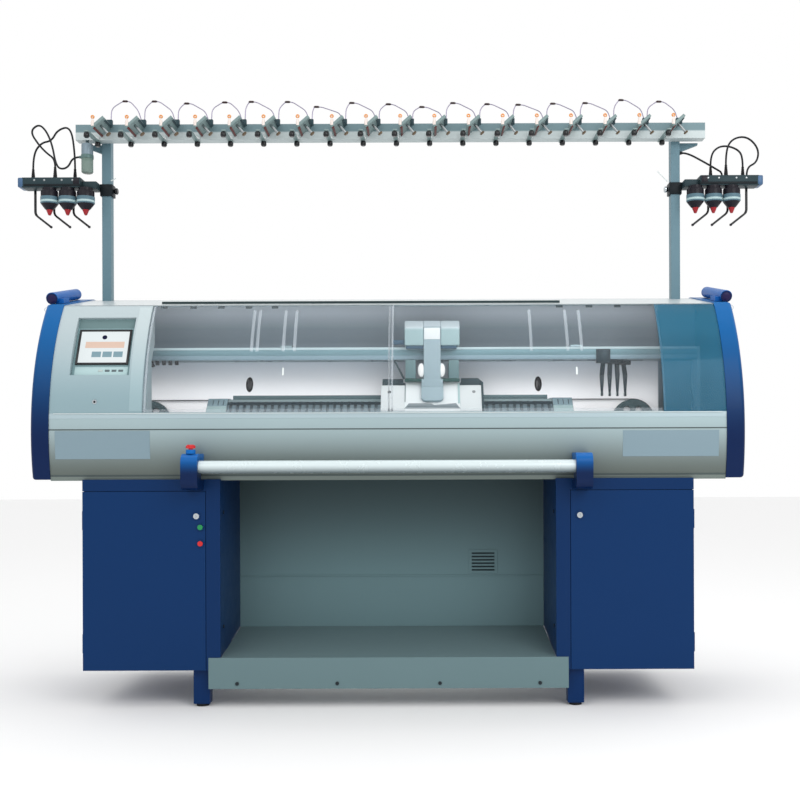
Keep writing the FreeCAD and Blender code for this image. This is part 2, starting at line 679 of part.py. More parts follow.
def corner_tube(name, side):
    """A short closed tube along the cap's outer top corner, with a saddle beside it over the cap."""
    radius = S.corner_tube_radius
    tube = rod(name, "y", radius, (0, S.corner_tube_run), (0, 0))
    saddle = block(name + "_saddle", both_ways(-side, S.sheet_wall * 2, S.sheet_wall * 2 + S.saddle_wide),
                   (S.sheet_wall * 6, S.sheet_wall * 6 + S.saddle_long), (-radius + 1, -S.sheet_wall))
    turned = group(name + "_turned", fuse(name + "_mounted", tube, saddle))
    turned.Placement = FreeCAD.Placement(Vector(), FreeCAD.Rotation(Vector(1, 0, 0), 0))
    bind(turned, "Placement.Rotation.Angle", S.top_pitch)
    lift = radius / wave("cos", S.top_pitch) + S.cap_proud + S.running_gap
    start = top_front + radius
    return place(turned, side * (S.body_length / 2 - S.corner_tube_inset), deep(start),
                 top_height(start) + lift)


node(group("corner_tubes", *[corner_tube(word + "_corner", side) for word, side in SIDES]),
     "corner_tubes")


# ---------------------------------------------------------------- hoods, their tracks, fixed window
rib_inset = S.hood_wall * 2 + 1
hood_floor = S.waist_height + S.sheet_wall + S.running_gap
hood_top = S.arc_top - 4
inner_inset = S.hood_wall * 2 + S.hood_gap


def hood(name, inset, span, pull_at):
    """A curved clear sheet with an oval finger pull set flush in it."""
    points, arcs = arc_band(hood_floor, hood_top, inset, S.hood_wall)
    half = S.pull_wide / 2
    straight = S.pull_tall / 2 - half
    oval = [(pull_at - half, S.pull_height - straight), (pull_at + half, S.pull_height - straight),
            (pull_at + half, S.pull_height + straight), (pull_at - half, S.pull_height + straight)]
    bulge = half * 1.02
    through = (deep(0), deep(100))
    hole = plate_y(name + "_oval", oval, through, {0: bulge, 2: bulge})
    clear = cut(name + "_clear", beam_x(name + "_skin", points, span, arcs), hole)
    insert = overlap(name + "_insert", beam_x(name + "_core", points, span, arcs), hole)
    return group(name, clear, insert)


left_span = (-S.hood_left_end, S.hood_meet + S.hood_overlap / 2)
right_span = (S.hood_meet - S.hood_overlap / 2, S.hood_right_end + S.hood_overlap / 2)
node(hood("hood_left", S.hood_wall, left_span, -S.left_pull_at), "left_sliding_hood")
node(hood("hood_right", inner_inset, right_span, S.right_pull_at), "right_sliding_hood")

window_points, window_arcs = arc_band(S.waist_height, S.arc_top - 4, 0, S.hood_wall - S.running_gap)
node(beam_x("window_sheet", window_points, (S.hood_right_end, cap_inner), window_arcs),
     "tinted_window")

track_span = (-S.housing_end, S.hood_right_end - S.running_gap)
tracks = []
sill_front = arc_depth(S.waist_height) + S.hood_wall
sill = [(deep(sill_front), S.waist_height), (deep(sill_front + 20), S.waist_height),
        (deep(sill_front + 20), S.waist_height + S.sheet_wall),
        (deep(sill_front), S.waist_height + S.sheet_wall)]
rib_points, rib_arcs = arc_band(S.waist_height + 1, S.waist_height + 14, rib_inset, 2)
tracks.append(fuse("lower_track", beam_x("sill", sill, track_span),
                   beam_x("sill_rib", rib_points, track_span, rib_arcs)))
header_low = hood_top + S.running_gap
header_deep = top_front + S.sheet_wall + 1
header = [(deep(header_deep), header_low), (deep(header_deep + S.guide_size), header_low),
          (deep(header_deep + S.guide_size), S.arc_top), (deep(header_deep + 3), S.arc_top - S.sheet_wall)]
tracks.append(beam_x("upper_track", header, track_span))
node(group("tracks", *tracks), "hood_tracks")


# ---------------------------------------------------------------- control housing and touch screen
def tilted(name, x, along, inward):
    """A box in the screen's tilted frame: along its height, and inward from its face."""
    item = block(name, x, inward, along)
    item.Placement = FreeCAD.Placement()
    bind(item, "Placement.Base.x", x[0])
    bind(item, "Placement.Base.y", inward[0])
    bind(item, "Placement.Base.z", along[0])
    turned = group(name + "_turned", item)
    turned.Placement = FreeCAD.Placement(Vector(), FreeCAD.Rotation(Vector(-1, 0, 0), 1))
    bind(turned, "Placement.Rotation.Angle", S.screen_tilt)
    return place(turned, 0, deep(arc_depth(S.screen_foot)), S.screen_foot)


screen_x = (-S.screen_left, -S.screen_left + S.screen_wide)
recess_along = (0, S.screen_tall)


def housing():
    """A closed cover with the hoods' curve in front, cut back for the screen's sunken panel."""
    low, high = S.waist_height, S.arc_top - S.sheet_wall - S.running_gap
    step = S.housing_waist
    points = [(deep(arc_depth(low)), low), (deep(arc_depth(high)), high),
              (deep(S.housing_deep), high), (deep(S.housing_deep), high - step),
              (deep(step), high - step - 70), (deep(step), low)]
    shell = beam_x("housing_body", points, (-cap_inner, -S.housing_end), {0: -S.arc_radius})
    recess = tilted("recess", screen_x, recess_along, (-60, S.screen_sink))
    lock_hole = rod("panel_lock_hole", "y", S.lock_radius - 2, (deep(-5), deep(30)),
                    (-S.lock_out, S.lock_up))
    return cut("housing", shell, recess, lock_hole)


node(housing(), "control_housing")

panel_gap = S.running_gap
face_x = (screen_x[0] + panel_gap, screen_x[1] - panel_gap)
face_plate = tilted("screen_face", face_x, (panel_gap, S.screen_tall - panel_gap),
                    (S.screen_sink - 8, S.screen_sink))
display_x = (screen_x[0] + (S.screen_wide - S.display_wide) / 2,
             screen_x[0] + (S.screen_wide + S.display_wide) / 2)
frame_box = tilted("display_frame", display_x, (S.display_up, S.display_up + S.display_tall),
                   (S.screen_sink - 14, S.screen_sink - 8))
glass_rim = 9
glass_hole = tilted("display_hole", (display_x[0] + glass_rim, display_x[1] - glass_rim),
                    (S.display_up + glass_rim, S.display_up + S.display_tall - glass_rim),
                    (S.screen_sink - 15, S.screen_sink - 10))
keys = [tilted(f"key_{index}", (screen_x[1] - 20 - S.key_pitch * (index + 1),
                                screen_x[1] - 20 - S.key_pitch * (index + 1) + S.key_size * 2),
               (S.display_up / 2 - S.key_size / 2, S.display_up / 2 + S.key_size / 2),
               (S.screen_sink - 10, S.screen_sink - 8)) for index in range(4)]
glass = tilted("display_glass", (display_x[0] + glass_rim + panel_gap, display_x[1] - glass_rim - panel_gap),
               (S.display_up + glass_rim + panel_gap, S.display_up + S.display_tall - glass_rim - panel_gap),
               (S.screen_sink - 13, S.screen_sink - 10))
key_lock = rod("panel_lock", "y", S.lock_radius - 2.1, (deep(6), deep(30)), (-S.lock_out, S.lock_up))
node(group("screen", cut("screen_bezel", fuse("screen_parts", face_plate, frame_box, *keys), glass_hole),
           glass, key_lock), "touch_screen")


# ---------------------------------------------------------------- needle beds and their carrier
ridge_near = S.throat_depth - S.throat_gap / 2


def mirrored(points, side):
    """Bed outlines are drawn for the front bed; the rear bed mirrors them about the throat."""
    return [(deep(depth) if side < 0 else deep(S.throat_depth * 2 - depth), height)
            for depth, height in points]


def bed_line(depth, lift=0):
    """Height of the front bed's sloping face at a depth, lifted square to the slope."""
    return ridge_height - (ridge_near - depth) + lift * root_two


bed_low = ridge_near - S.bed_run
plate_low = bed_low + S.bed_plate / root_two
half_bed = S.bed_length / 2


def needle_bed(name, side):
    """A sloping plate with a needle groove repeated along its length."""
    outline = [(ridge_near, ridge_height), (bed_low, bed_line(bed_low)),
               (plate_low, bed_line(bed_low) - S.bed_plate / root_two),
               (ridge_near, bed_line(ridge_near, -S.bed_plate))]
    plate = beam_x(name, mirrored(outline, side), (-half_bed, half_bed))
    groove = [(ridge_near + 1, bed_line(ridge_near + 1, 1)), (bed_low - 2, bed_line(bed_low - 2, 1)),
              (bed_low + 3, bed_line(bed_low + 3, -S.slot_deep)),
              (ridge_near + 1, bed_line(ridge_near + 1, -S.slot_deep))]
    start = (S.bed_length - (S.slot_count - 1) * S.slot_pitch - S.slot_width) / 2
    sketch = new_sketch(plate, "YZ_Plane", name + "_groove", start)
    draw_outline(sketch, mirrored(groove, side))
    first = pocket(plate, sketch, S.slot_width, back=True)
    doc.recompute()
    row = plate.newObject("PartDesign::LinearPattern", name + "_grooves")
    row.Originals = [first]
    row.Direction = (sketch, ["N_Axis"])
    bind(row, "Length", (S.slot_count - 1) * S.slot_pitch)
    bind(row, "Occurrences", S.slot_count)
    plate.Tip = row
    return plate


for word, side in (("front", -1), ("rear", 1)):
    node(needle_bed(word + "_bed", side), f"{word}_needle_bed")

guide_near = S.throat_depth - S.guide_offset
wedge_inner = S.throat_depth - S.fabric_gap / 2
wedge = [(ridge_near, bed_line(ridge_near, -S.bed_plate)),
         (plate_low, bed_line(bed_low) - S.bed_plate / root_two),
         (plate_low, guide_seat), (guide_near - S.guide_size / 2, guide_seat),
         (guide_near - S.guide_size / 2, base_top), (wedge_inner, base_top),
         (wedge_inner, bed_line(wedge_inner, -S.bed_plate) - 40),
         (ridge_near, bed_line(ridge_near, -S.bed_plate) - 40)]
end_wall = [(ridge_near, ridge_height), (plate_low, bed_line(plate_low)),
            (plate_low, base_top), (S.throat_depth * 2 - plate_low, base_top),
            (S.throat_depth * 2 - plate_low, bed_line(plate_low)),
            (S.throat_depth * 2 - ridge_near, ridge_height)]
end_near = half_bed + S.seam
carrier_pieces = [beam_x(f"wedge_{index}", mirrored(wedge, side),
                         (-end_near - S.end_block, end_near + S.end_block))
                  for index, side in enumerate((-1, 1))]
carrier_pieces += [beam_x(f"bed_end_{word}", [(deep(depth), height) for depth, height in end_wall],
                          both_ways(side, end_near, end_near + S.end_block)) for word, side in SIDES]
roller_depths = [S.throat_depth + side * (S.roller_radius + S.roller_nip / 2) for side in (-1, 1)]
bores = [rod(f"roller_bore_{index}", "x", S.pivot_radius + S.pivot_fit,
             (-end_near - S.end_block - 1, end_near + S.end_block + 1), (deep(depth), roller_height))
         for index, depth in enumerate(roller_depths)]
guide_length = (-cap_inner + 60, cap_inner - 60)
guides = []
for index, side in enumerate((-1, 1)):
    depth = S.throat_depth + side * S.guide_offset
    guides.append(block(f"guide_{index}", guide_length,
                        (deep(depth - S.guide_size / 2), deep(depth + S.guide_size / 2)),
                        (guide_seat, guide_seat + S.guide_size)))
    for word, end in SIDES:
        post_x = both_ways(end, cap_inner - 110, cap_inner - 60)
        guides.append(block(f"guide_post_{index}_{word}", post_x,
                            (deep(depth - S.guide_size / 2), deep(depth + S.guide_size / 2)),
                            (base_top, guide_seat)))
node(group("bed_mount", cut("bed_block", fuse("bed_pieces", *carrier_pieces), *bores),
           fuse("guide_front", *guides[:3]), fuse("guide_rear", *guides[3:])), "bed_carrier")

for word, depth in zip(("front", "rear"), roller_depths):
    barrel = rod(word + "_roll", "x", S.roller_radius, (-half_bed, half_bed), (deep(depth), roller_height))
    shaft = rod(word + "_shaft", "x", S.pivot_radius, (-end_near - 40, end_near + 40),
                (deep(depth), roller_height))
    node(fuse(word + "_roller", barrel, shaft), f"{word}_takedown_roller")


# ---------------------------------------------------------------- yarn rails and yarn carriers
rail_depths = [S.throat_depth + (index - 1.5) * S.rail_pitch for index in range(4)]
rail_span = (-S.rail_half, S.rail_half)
rail_pieces = []
for index, depth in enumerate(rail_depths):
    y = (deep(depth - S.rail_thick / 2), deep(depth + S.rail_thick / 2))
    rail_pieces.append(block(f"rail_{index}", rail_span, y, (rail_bottom, rail_top)))
rail_reach = (deep(rail_depths[0] - S.rail_thick), deep(rail_depths[3] + S.rail_thick))
for index, at in enumerate((-S.left_clamp_at, S.right_clamp_at)):
    rail_pieces.append(block(f"rail_clamp_{index}", (at - S.clamp_long / 2, at + S.clamp_long / 2),
                             rail_reach, (rail_top, rail_top + S.rail_thick)))
for word, side in SIDES:
    stand_x = both_ways(side, S.rail_half, S.rail_half + 12)
    rail_pieces.append(block(f"rail_stand_{word}", stand_x, rail_reach, (base_top, rail_top)))
for index in range(4):
    at = -S.stop_first + index * S.stop_step
    rail_pieces.append(rod(f"rail_stop_{index}", "z", 5, (rail_bottom - 18, rail_bottom),
                           (at, deep(rail_depths[0]))))
node(fuse("rails", *rail_pieces), "yarn_rails")


def yarn_carrier(index):
    """A saddle under its rail and a finger that bends into its own plane over the throat."""
    depth = rail_depths[index]
    plane = S.throat_depth + (index - 1.5) * S.finger_pitch
    half_slot = S.rail_thick / 2 + S.carrier_fit
    half = half_slot + S.carrier_cheek
    low = rail_bottom - 16
    floor = rail_bottom - S.carrier_fit
    lip = rail_bottom + S.rail_tall * 0.8
    saddle = [(deep(depth - half), low), (deep(depth + half), low), (deep(depth + half), lip),
              (deep(depth + half_slot), lip), (deep(depth + half_slot), floor),
              (deep(depth - half_slot), floor), (deep(depth - half_slot), lip), (deep(depth - half), lip)]
    reach = S.finger_thick / 2
    bend = low - 45
    tip = ridge_height + 6
    finger = [(deep(depth - reach), low + 2), (deep(plane - reach), bend), (deep(plane - reach), tip),
              (deep(plane + reach), tip), (deep(plane + reach), bend), (deep(depth + reach), low + 2)]
    at = S.carrier_first + index * S.carrier_step
    return fuse(f"carrier_{index}",
                beam_x(f"saddle_{index}", saddle, (at - S.carrier_length / 2, at + S.carrier_length / 2)),
                beam_x(f"finger_{index}", finger, (at - S.finger_width / 2, at + S.finger_width / 2)))


for index in range(4):
    node(yarn_carrier(index), f"yarn_carrier_{index + 1}")

# ---------------------------------------------------------------- carriage
box_inner = S.throat_depth - S.carriage_gap / 2
shoe_floor = guide_seat + S.guide_size + S.running_gap
shoe_back = guide_near + S.guide_size / 2 + 8
shoe_front = guide_near - S.guide_size / 2 - 2
carriage_ends = (S.carriage_at - S.carriage_length / 2, S.carriage_at + S.carriage_length / 2)


def cam_slope():
    """Lower and upper corner of a cam box's sloping face, as (depth, height)."""
    return (shoe_front, shoe_floor + 62), (box_inner - 48, carriage_top)


def cam_box(name, side):
    """The box over one bed: it follows the bed's slope below and runs on its guide rail."""
    outline = [(box_inner, bed_line(box_inner, S.carriage_lift)),
               (shoe_back, bed_line(shoe_back, S.carriage_lift)), (shoe_back, shoe_floor),
               (shoe_front, shoe_floor), *cam_slope(), (box_inner, carriage_top)]
    return beam_x(name, mirrored(outline, side), carriage_ends)


node(cam_box("front_box", -1), "carriage_front_box")
node(cam_box("rear_box", 1), "carriage_rear_box")


def bridge():
    """The arch that joins both cam boxes over the yarn rails: a broad head, short posts and a tongue."""
    reach, leg_thick = S.bridge_reach, S.bridge_leg
    inner = reach - leg_thick
    crest = [(reach, bridge_top - 30), (reach - 30, bridge_top), (-reach + 30, bridge_top),
             (-reach, bridge_top - 30)]
    arch = [(-reach, carriage_top), (-inner, carriage_top), (-inner, bridge_floor),
            (inner, bridge_floor), (inner, carriage_top), (reach, carriage_top)] + crest
    at = S.carriage_at
    whole = beam_x("bridge_arch", [(throat + u, v) for u, v in arch],
                   (at - S.bridge_arm / 2, at + S.bridge_arm / 2))
    skirt = bridge_floor - S.bridge_skirt
    head = [(-reach, skirt), (-inner, skirt), (-inner, bridge_floor), (inner, bridge_floor),
            (inner, skirt), (reach, skirt)] + crest
    head_body = beam_x("bridge_head", [(throat + u, v) for u, v in head],
                       (at - S.bridge_box / 2, at + S.bridge_box / 2))
    stands = []
    half = S.bridge_box / 2
    for word, side in (("front", -1), ("rear", 1)):
        near, far = both_ways(side, inner, reach - 4)
        y = (throat + near, throat + far)
        stands.append(block(word + "_foot_bar", (at - half, at + half), y,
                            (carriage_top, carriage_top + S.foot_bar)))
        for hand, start in (("left", at - half), ("right", at + half - S.upright_wide)):
            stands.append(block(f"{word}_{hand}_upright", (start, start + S.upright_wide), y,
                                (carriage_top, rail_bottom - S.upright_gap)))
    return fuse("bridge", whole, head_body, tongue(at), *stands)


def tongue(at):
    """The arm's lower end: it lies on the front box's slope and ends above the box's foot."""
    low_corner, high_corner = cam_slope()
    lean = (high_corner[0] - low_corner[0]) / (high_corner[1] - low_corner[1])
    aside = S.tongue_thick / root(lean * lean + 1)
    edge, drop = high_corner[0] - S.running_gap, S.tongue_drop
    low = (edge - lean * drop, carriage_top - drop)
    tip = (low[0] - aside, low[1] + aside * lean)
    face = S.throat_depth - S.bridge_reach
    chin = (face, tip[1] + (face - tip[0]) / lean)
    outline = [(face, carriage_top + 10), (edge - 6, carriage_top + 10), (edge, carriage_top),
               low, tip, chin]
    return beam_x("bridge_tongue", [(deep(depth), height) for depth, height in outline],
                  (at - S.tongue_wide / 2, at + S.tongue_wide / 2))


node(bridge(), "carriage_bridge")

# ---------------------------------------------------------------- belt drive behind the rear box
belt_gap = 3
pulley_front = S.throat_depth * 2 - shoe_front + belt_gap
pulley_y = (deep(pulley_front), deep(pulley_front + S.pulley_deep))
axle_end = deep(S.inner_wall_depth)
belt_outer = S.pulley_radius + S.belt_thick


def pulley(name, at):
    wheel = rod(name + "_wheel", "y", S.pulley_radius - S.running_gap, pulley_y, (at, S.pulley_height))
    axle = rod(name + "_axle", "y", S.pivot_radius, (pulley_y[0], axle_end - S.pivot_fit),
               (at, S.pulley_height))
    holes = [rod(f"{name}_light_{index}", "y", 15, (pulley_y[0] - 1, pulley_y[1] + 1),
                 (at + 50 * math.cos(math.radians(index * 60)),
                  S.pulley_height + 50 * math.sin(math.radians(index * 60)))) for index in range(6)]
    return cut(name, fuse(name + "_solid", wheel, axle), *holes)


def belt_shape(name, radius, y):
    """A flat bar with two round ends, as wide as the loop's face at this radius."""
    bar_between = block(name + "_bar", (-S.pulley_at, S.pulley_at), y,
                        (S.pulley_height - radius, S.pulley_height + radius))
    ends = [rod(f"{name}_{word}", "y", radius, y, (side * S.pulley_at, S.pulley_height))
            for word, side in SIDES]
    return fuse(name, bar_between, *ends)


for word, side in SIDES:
    node(pulley(word + "_wheel", side * S.pulley_at), f"{word}_drive_pulley")
belt_y = (pulley_y[0] + 2, pulley_y[1] - 2)
wide_y = (pulley_y[0] - 1, pulley_y[1] + 1)
node(cut("belt", belt_shape("belt_outside", belt_outer, belt_y),
         belt_shape("belt_inside", S.pulley_radius, wide_y)), "drive_belt")


# ---------------------------------------------------------------- start bar, brackets, stop button
bar_y = deep(-S.bar_out)
pivot_end = S.bar_length / 2 + 40


def bar_bracket(name, side):
    """A hooked bracket: a foot on the cabinet's header, a rounded front and a top arm to the cover."""
    out, foot, top, bend = S.bracket_out, S.bracket_foot, S.bracket_top, S.bracket_round
    neck = S.bar_out - S.bar_radius - 12
    under = top - 26
    points = [(deep(0), foot), (deep(-out + bend), foot), (deep(-out), foot + bend),
              (deep(-out), top - bend), (deep(-out + bend), top),
              (deep(arc_depth(top) - S.running_gap), top), (deep(arc_depth(under) - S.running_gap), under),
              (deep(-neck), under), (deep(-neck), S.cover_floor - 3),
              (deep(0), S.cover_floor - 3)]
    near = S.bar_length / 2 + S.running_gap
    body = beam_x(name, points, both_ways(side, near, near + S.bracket_width), {1: -bend, 3: -bend})
    bore = rod(name + "_bore", "x", S.pivot_radius + S.pivot_fit, both_ways(side, near - 1, pivot_end + 2),
               (bar_y, S.bar_height))
    return cut(name + "_bored", body, bore)


bar = rod("bar_tube", "x", S.bar_radius, (-S.bar_length / 2, S.bar_length / 2), (bar_y, S.bar_height))
shaft = rod("bar_shaft", "x", S.pivot_radius, (-pivot_end, pivot_end), (bar_y, S.bar_height))
node(fuse("bar", bar, shaft), "start_bar")

stop_at = (-(S.bar_length + S.bracket_width) / 2, bar_y)
stop_top = S.bracket_top + S.stop_base
base_ring = ring("stop_base_ring", "z", S.stop_radius, 8 + S.pivot_fit, (S.bracket_top, stop_top), stop_at)
node(group("brackets", bar_bracket("left_bracket", -1), bar_bracket("right_bracket", 1), base_ring),
     "bar_brackets")
stop_lift = 5
stem = rod("stop_stem", "z", 8, (S.bracket_top + stop_lift, stop_top + stop_lift + 1), stop_at)
head = rod("stop_head", "z", S.stop_radius, (stop_top + stop_lift, stop_top + stop_lift + 10), stop_at)
crown_foot = stop_top + stop_lift + 10
crown = cone("stop_crown", S.stop_radius, S.stop_radius - 6, (crown_foot, crown_foot + 4), stop_at)
node(fuse("stop_button", stem, head, crown), "emergency_stop_button")


# ---------------------------------------------------------------- yarn stand
beam_top = S.beam_floor + S.beam_tall


def yarn_post(name, side):
    """A square tube on the base, closed on top, with a tapered plate under the beam's end."""
    half = S.post_size / 2
    at, y = side * S.post_at, deep(S.post_depth)
    tube = cut(name + "_tube",
               block(name + "_outer", (at - half, at + half), (y - half, y + half), (base_top, beam_top)),
               block(name + "_bore", (at - half + S.tube_wall, at + half - S.tube_wall),
                     (y - half + S.tube_wall, y + half - S.tube_wall), (base_top - 1, beam_top - 3)))
    near = S.post_at + half - 1
    corners = [(near, S.beam_floor), (near + S.gusset_long, S.beam_floor),
               (near + S.gusset_long, S.beam_floor - S.gusset_tip), (near, S.beam_floor - S.gusset_tall)]
    gusset = plate_y(name + "_gusset", [(side * x, z) for x, z in corners],
                     (y + S.gusset_near, y + half))
    return fuse(name, tube, gusset)


for word, side in SIDES:
    node(yarn_post(word + "_post", side), f"{word}_yarn_post")
beam_y = (deep(S.beam_depth), deep(S.beam_depth + S.beam_size))
node(hollow_beam("yarn_bar", (-S.beam_half, S.beam_half), beam_y, (S.beam_floor, beam_top), S.tube_wall),
     "yarn_beam")

unit_front = S.beam_depth - S.unit_deep
unit_level = S.beam_floor + S.unit_lift
eye_level = S.beam_floor + S.eye_rise


def tension_unit(name, at):
    """A slanting plate before the beam, with its tension disc, eyelet, wire lug and clamp bar."""
    plate = block(name + "_plate", (0, S.unit_wide), (0, S.unit_deep), (-S.unit_thick, 0))
    middle = (S.unit_wide / 2, S.unit_deep / 4)
    shaft = rod(name + "_shaft", "z", 5, (-S.disc_reach + 1, -S.unit_thick + 1), middle)
    disc = rod(name + "_disc", "z", S.disc_radius, (-S.disc_reach, -S.disc_reach + S.disc_thick), middle)
    turned = group(name + "_turned", fuse(name + "_slab", plate, shaft, disc))
    turned.Placement = FreeCAD.Placement(Vector(), FreeCAD.Rotation(Vector(0, -1, 0), 1))
    bind(turned, "Placement.Rotation.Angle", S.unit_tilt)
    place(turned, at - S.unit_edge, deep(unit_front), unit_level)
    eye_y = (deep(unit_front), deep(unit_front + S.disc_thick))
    eyelet = ring(name + "_eyelet", "y", 8, 4, eye_y, (at, eye_level))
    eye_post = rod(name + "_eye_post", "z", 3, (unit_level, eye_level - 6),
                   (at, deep(unit_front + S.disc_thick / 2)))
    lug = block(name + "_lug", (at + S.lug_near, at + S.lug_far),
                (deep(wire_depth - 8), deep(wire_depth + 8)), (unit_level + 28, lug_top))
    bar_floor = S.beam_floor - 6
    bar = block(name + "_bar", (at - S.knob_shift - 9, at - S.knob_shift + 9),
                (deep(unit_front - 16), beam_y[1] - 8), (bar_floor, S.beam_floor))
    knobs = [rod(f"{name}_{word}_knob", "z", S.knob_radius, (S.beam_floor - S.knob_drop - 6, bar_floor + 1),
                 (at - S.knob_shift, y))
             for word, y in (("front", deep(unit_front - 4)), ("rear", beam_y[1] - 28))]
    return group(name, fuse(name + "_slanting", turned, eye_post, eyelet, lug),
                 fuse(name + "_clamp", bar, *knobs))


lug_top = beam_top + S.lug_rise
wire_depth = S.beam_depth - 31
unit_places = [-S.unit_first + index * S.unit_pitch for index in range(DRIVING["unit_count"])]
node(group("units", *[tension_unit(f"unit_{index}", at) for index, at in enumerate(unit_places)]),
     "yarn_tension_units")


def tube_along(points, radius, bends):
    """A round tube along a path of straight runs joined by tangent arcs, one arc at each corner."""
    edges = []
    last = points[0]
    for before, corner, after, bend in zip(points, points[1:], points[2:], bends):
        into = (corner - before).normalize()
        out = (after - corner).normalize()
        turn = into.getAngle(out)
        setback = bend * math.tan(turn / 2)
        start, end = corner - into * setback, corner + out * setback
        inward = (out - into).normalize()
        middle = corner + inward * (bend / math.cos(turn / 2) - bend)
        edges.append(Part.LineSegment(last, start).toShape())
        edges.append(Part.Arc(start, middle, end).toShape())
        last = end
    edges.append(Part.LineSegment(last, points[-1]).toShape())
    path = Part.Wire(edges)
    circle = Part.Circle(points[0], points[1] - points[0], radius).toShape()
    tube = path.makePipeShell([Part.Wire([circle])], True, False)
    expected = math.pi * radius ** 2 * path.Length
    if abs(tube.Volume / expected - 1) > 0.02:
        raise RuntimeError("a tube's volume is not its section times its length")
    return tube, path.Length


def own_bends(points):
    """The largest arcs that the runs allow: 0.45 of the shorter run over tan of half the turn."""
    bends = []
    for before, corner, after in zip(points, points[1:], points[2:]):
        runs = (corner - before, after - corner)
        turn = runs[0].getAngle(runs[1])
        bends.append(0.45 * min(run.Length for run in runs) / math.tan(turn / 2))
    return bends


def free_shape(name, shape):
    item = doc.addObject("Part::Feature", name)
    item.Shape = shape
    item.Placement = FreeCAD.Placement()
    return item


def wire_arch(at):
    """A thin guide wire from one unit's lug over to the next unit's lug."""
    start, end = (at + S.wire_start).value, (at + S.unit_pitch + S.wire_end).value
    span, rise = end - start, S.wire_rise.value
    y, base = deep(wire_depth).value, lug_top.value + 0.3
    route = [Vector(start, y, base), Vector(start, y, base + rise * 0.55),
             Vector(start + span * 0.32, y, base + rise), Vector(start + span * 0.74, y, base + rise),
             Vector(end, y, base + rise * 0.55), Vector(end, y, base)]
    return tube_along(route, S.wire_radius.value, own_bends(route))[0]


node(free_shape("wires", Part.makeCompound([wire_arch(at) for at in unit_places[:-1]])), "tension_wires")

lamp_spot = (-S.lamp_at, deep(S.beam_depth + 6))
lamp_top = S.beam_floor - S.lamp_stem
lamp_foot = lamp_top - S.lamp_tall
nub_level = lamp_top - 56
lamp_body = rod("lamp_body", "z", S.lamp_radius, (lamp_foot, lamp_top), lamp_spot)
lamp_band = rod("lamp_band", "z", S.lamp_radius + 2, (nub_level - 8, nub_level + 8), lamp_spot)
stem = rod("lamp_stem", "z", 6, (lamp_top - 1, S.beam_floor), lamp_spot)
nub_end = -S.lamp_at - S.lamp_radius - S.lamp_nub
nub = rod("lamp_nub", "x", 6, (nub_end, -S.lamp_at), (lamp_spot[1], nub_level))
node(fuse("lamp", lamp_body, lamp_band, stem, nub), "signal_lamp")


# ---------------------------------------------------------------- side feeders
plate_top = S.plate_floor + S.plate_tall
post_inner, post_outer = S.post_at - S.post_size / 2, S.post_at + S.post_size / 2
clamp_band = 7
sleeve_top = plate_top + S.sleeve_tall
near_sleeve = S.plate_depth - S.sleeve_apart / 2
far_sleeve = S.plate_depth + S.sleeve_apart / 2
sleeve_places = {"left": ((-1512, far_sleeve), (-1408, near_sleeve), (-1335, far_sleeve)),
                 "right": ((1353, far_sleeve), (1409, near_sleeve), (1489, far_sleeve))}


def feeder_bracket(word, side):
    """A plate beside the post, the clamp that holds it, its knob, and the cable sleeves on it."""
    x = both_ways(side, S.plate_inner, S.plate_outer)
    y = (deep(S.plate_depth - S.plate_deep / 2), deep(S.plate_depth + S.plate_deep / 2))
    half = S.post_size / 2 + clamp_band
    post_y = deep(S.post_depth)
    clamp_z = (S.plate_floor - 20, S.plate_floor + 30)
    collar = cut(word + "_collar",
                 block(word + "_collar_outer", both_ways(side, S.post_at - half, S.post_at + half),
                       (post_y - half, post_y + half), clamp_z),
                 block(word + "_collar_bore", both_ways(side, post_inner, post_outer),
                       (post_y - S.post_size / 2, post_y + S.post_size / 2),
                       (clamp_z[0] - 1, clamp_z[1] + 1)))
    arm = block(word + "_plate_arm", both_ways(side, post_outer + clamp_band, S.plate_inner),
                (y[1] - S.plate_deep * 0.7, post_y), (S.plate_floor, clamp_z[1]))
    knob = rod(word + "_knob", "x", 14, both_ways(side, S.post_at - half - 18, S.post_at - half),
               (post_y, S.plate_floor + 5))
    plate = block(word + "_plate", x, y, (S.plate_floor, plate_top))
    sleeve_span = (plate_top, sleeve_top)
    sleeves = [rod(f"{word}_sleeve_{index}", "z", S.sleeve_radius, sleeve_span, (at, deep(depth)))
               for index, (at, depth) in enumerate(sleeve_places[word])]
    return fuse(word + "_feeder_bracket", collar, arm, knob, plate, *sleeves)


gland = rod("post_gland", "x", S.sleeve_radius - 1, (post_outer, post_outer + 14),
            (deep(S.post_depth - 5), S.beam_floor - S.gusset_tall - 5))
node(group("feeder_plates", *[feeder_bracket(word, side) for word, side in SIDES], gland),
     "feeder_brackets")


def feeder(name, at):
    """A round yarn feeder under the plate: neck, drum, tapered shoulder and yarn tip."""
    spot = (at, deep(S.plate_depth - S.feeder_lead))
    neck_low = S.plate_floor - S.neck_tall
    drum_low = neck_low - S.drum_tall
    cone_low = drum_low - S.cone_tall
    return fuse(name,
                rod(name + "_neck", "z", S.neck_radius, (neck_low, S.plate_floor), spot),
                rod(name + "_drum", "z", S.feeder_radius, (drum_low, neck_low), spot),
                cone(name + "_shoulder", S.tip_radius + 2, S.feeder_radius, (cone_low, drum_low), spot),
                cone(name + "_tip", 5, S.tip_radius, (cone_low - S.tip_tall, cone_low), spot))


def bent_rod(side, at):
    """A guide rod that drops from the plate and turns toward the machine."""
    y, top = deep(S.plate_depth + S.rod_behind).value, S.plate_floor.value
    bend = top - S.rod_drop.value
    route = [Vector(side * at, y, top), Vector(side * at, y, bend),
             Vector(side * (at - S.rod_reach.value), y, bend - S.rod_turn.value)]
    return tube_along(route, S.rod_radius.value, [14])[0]


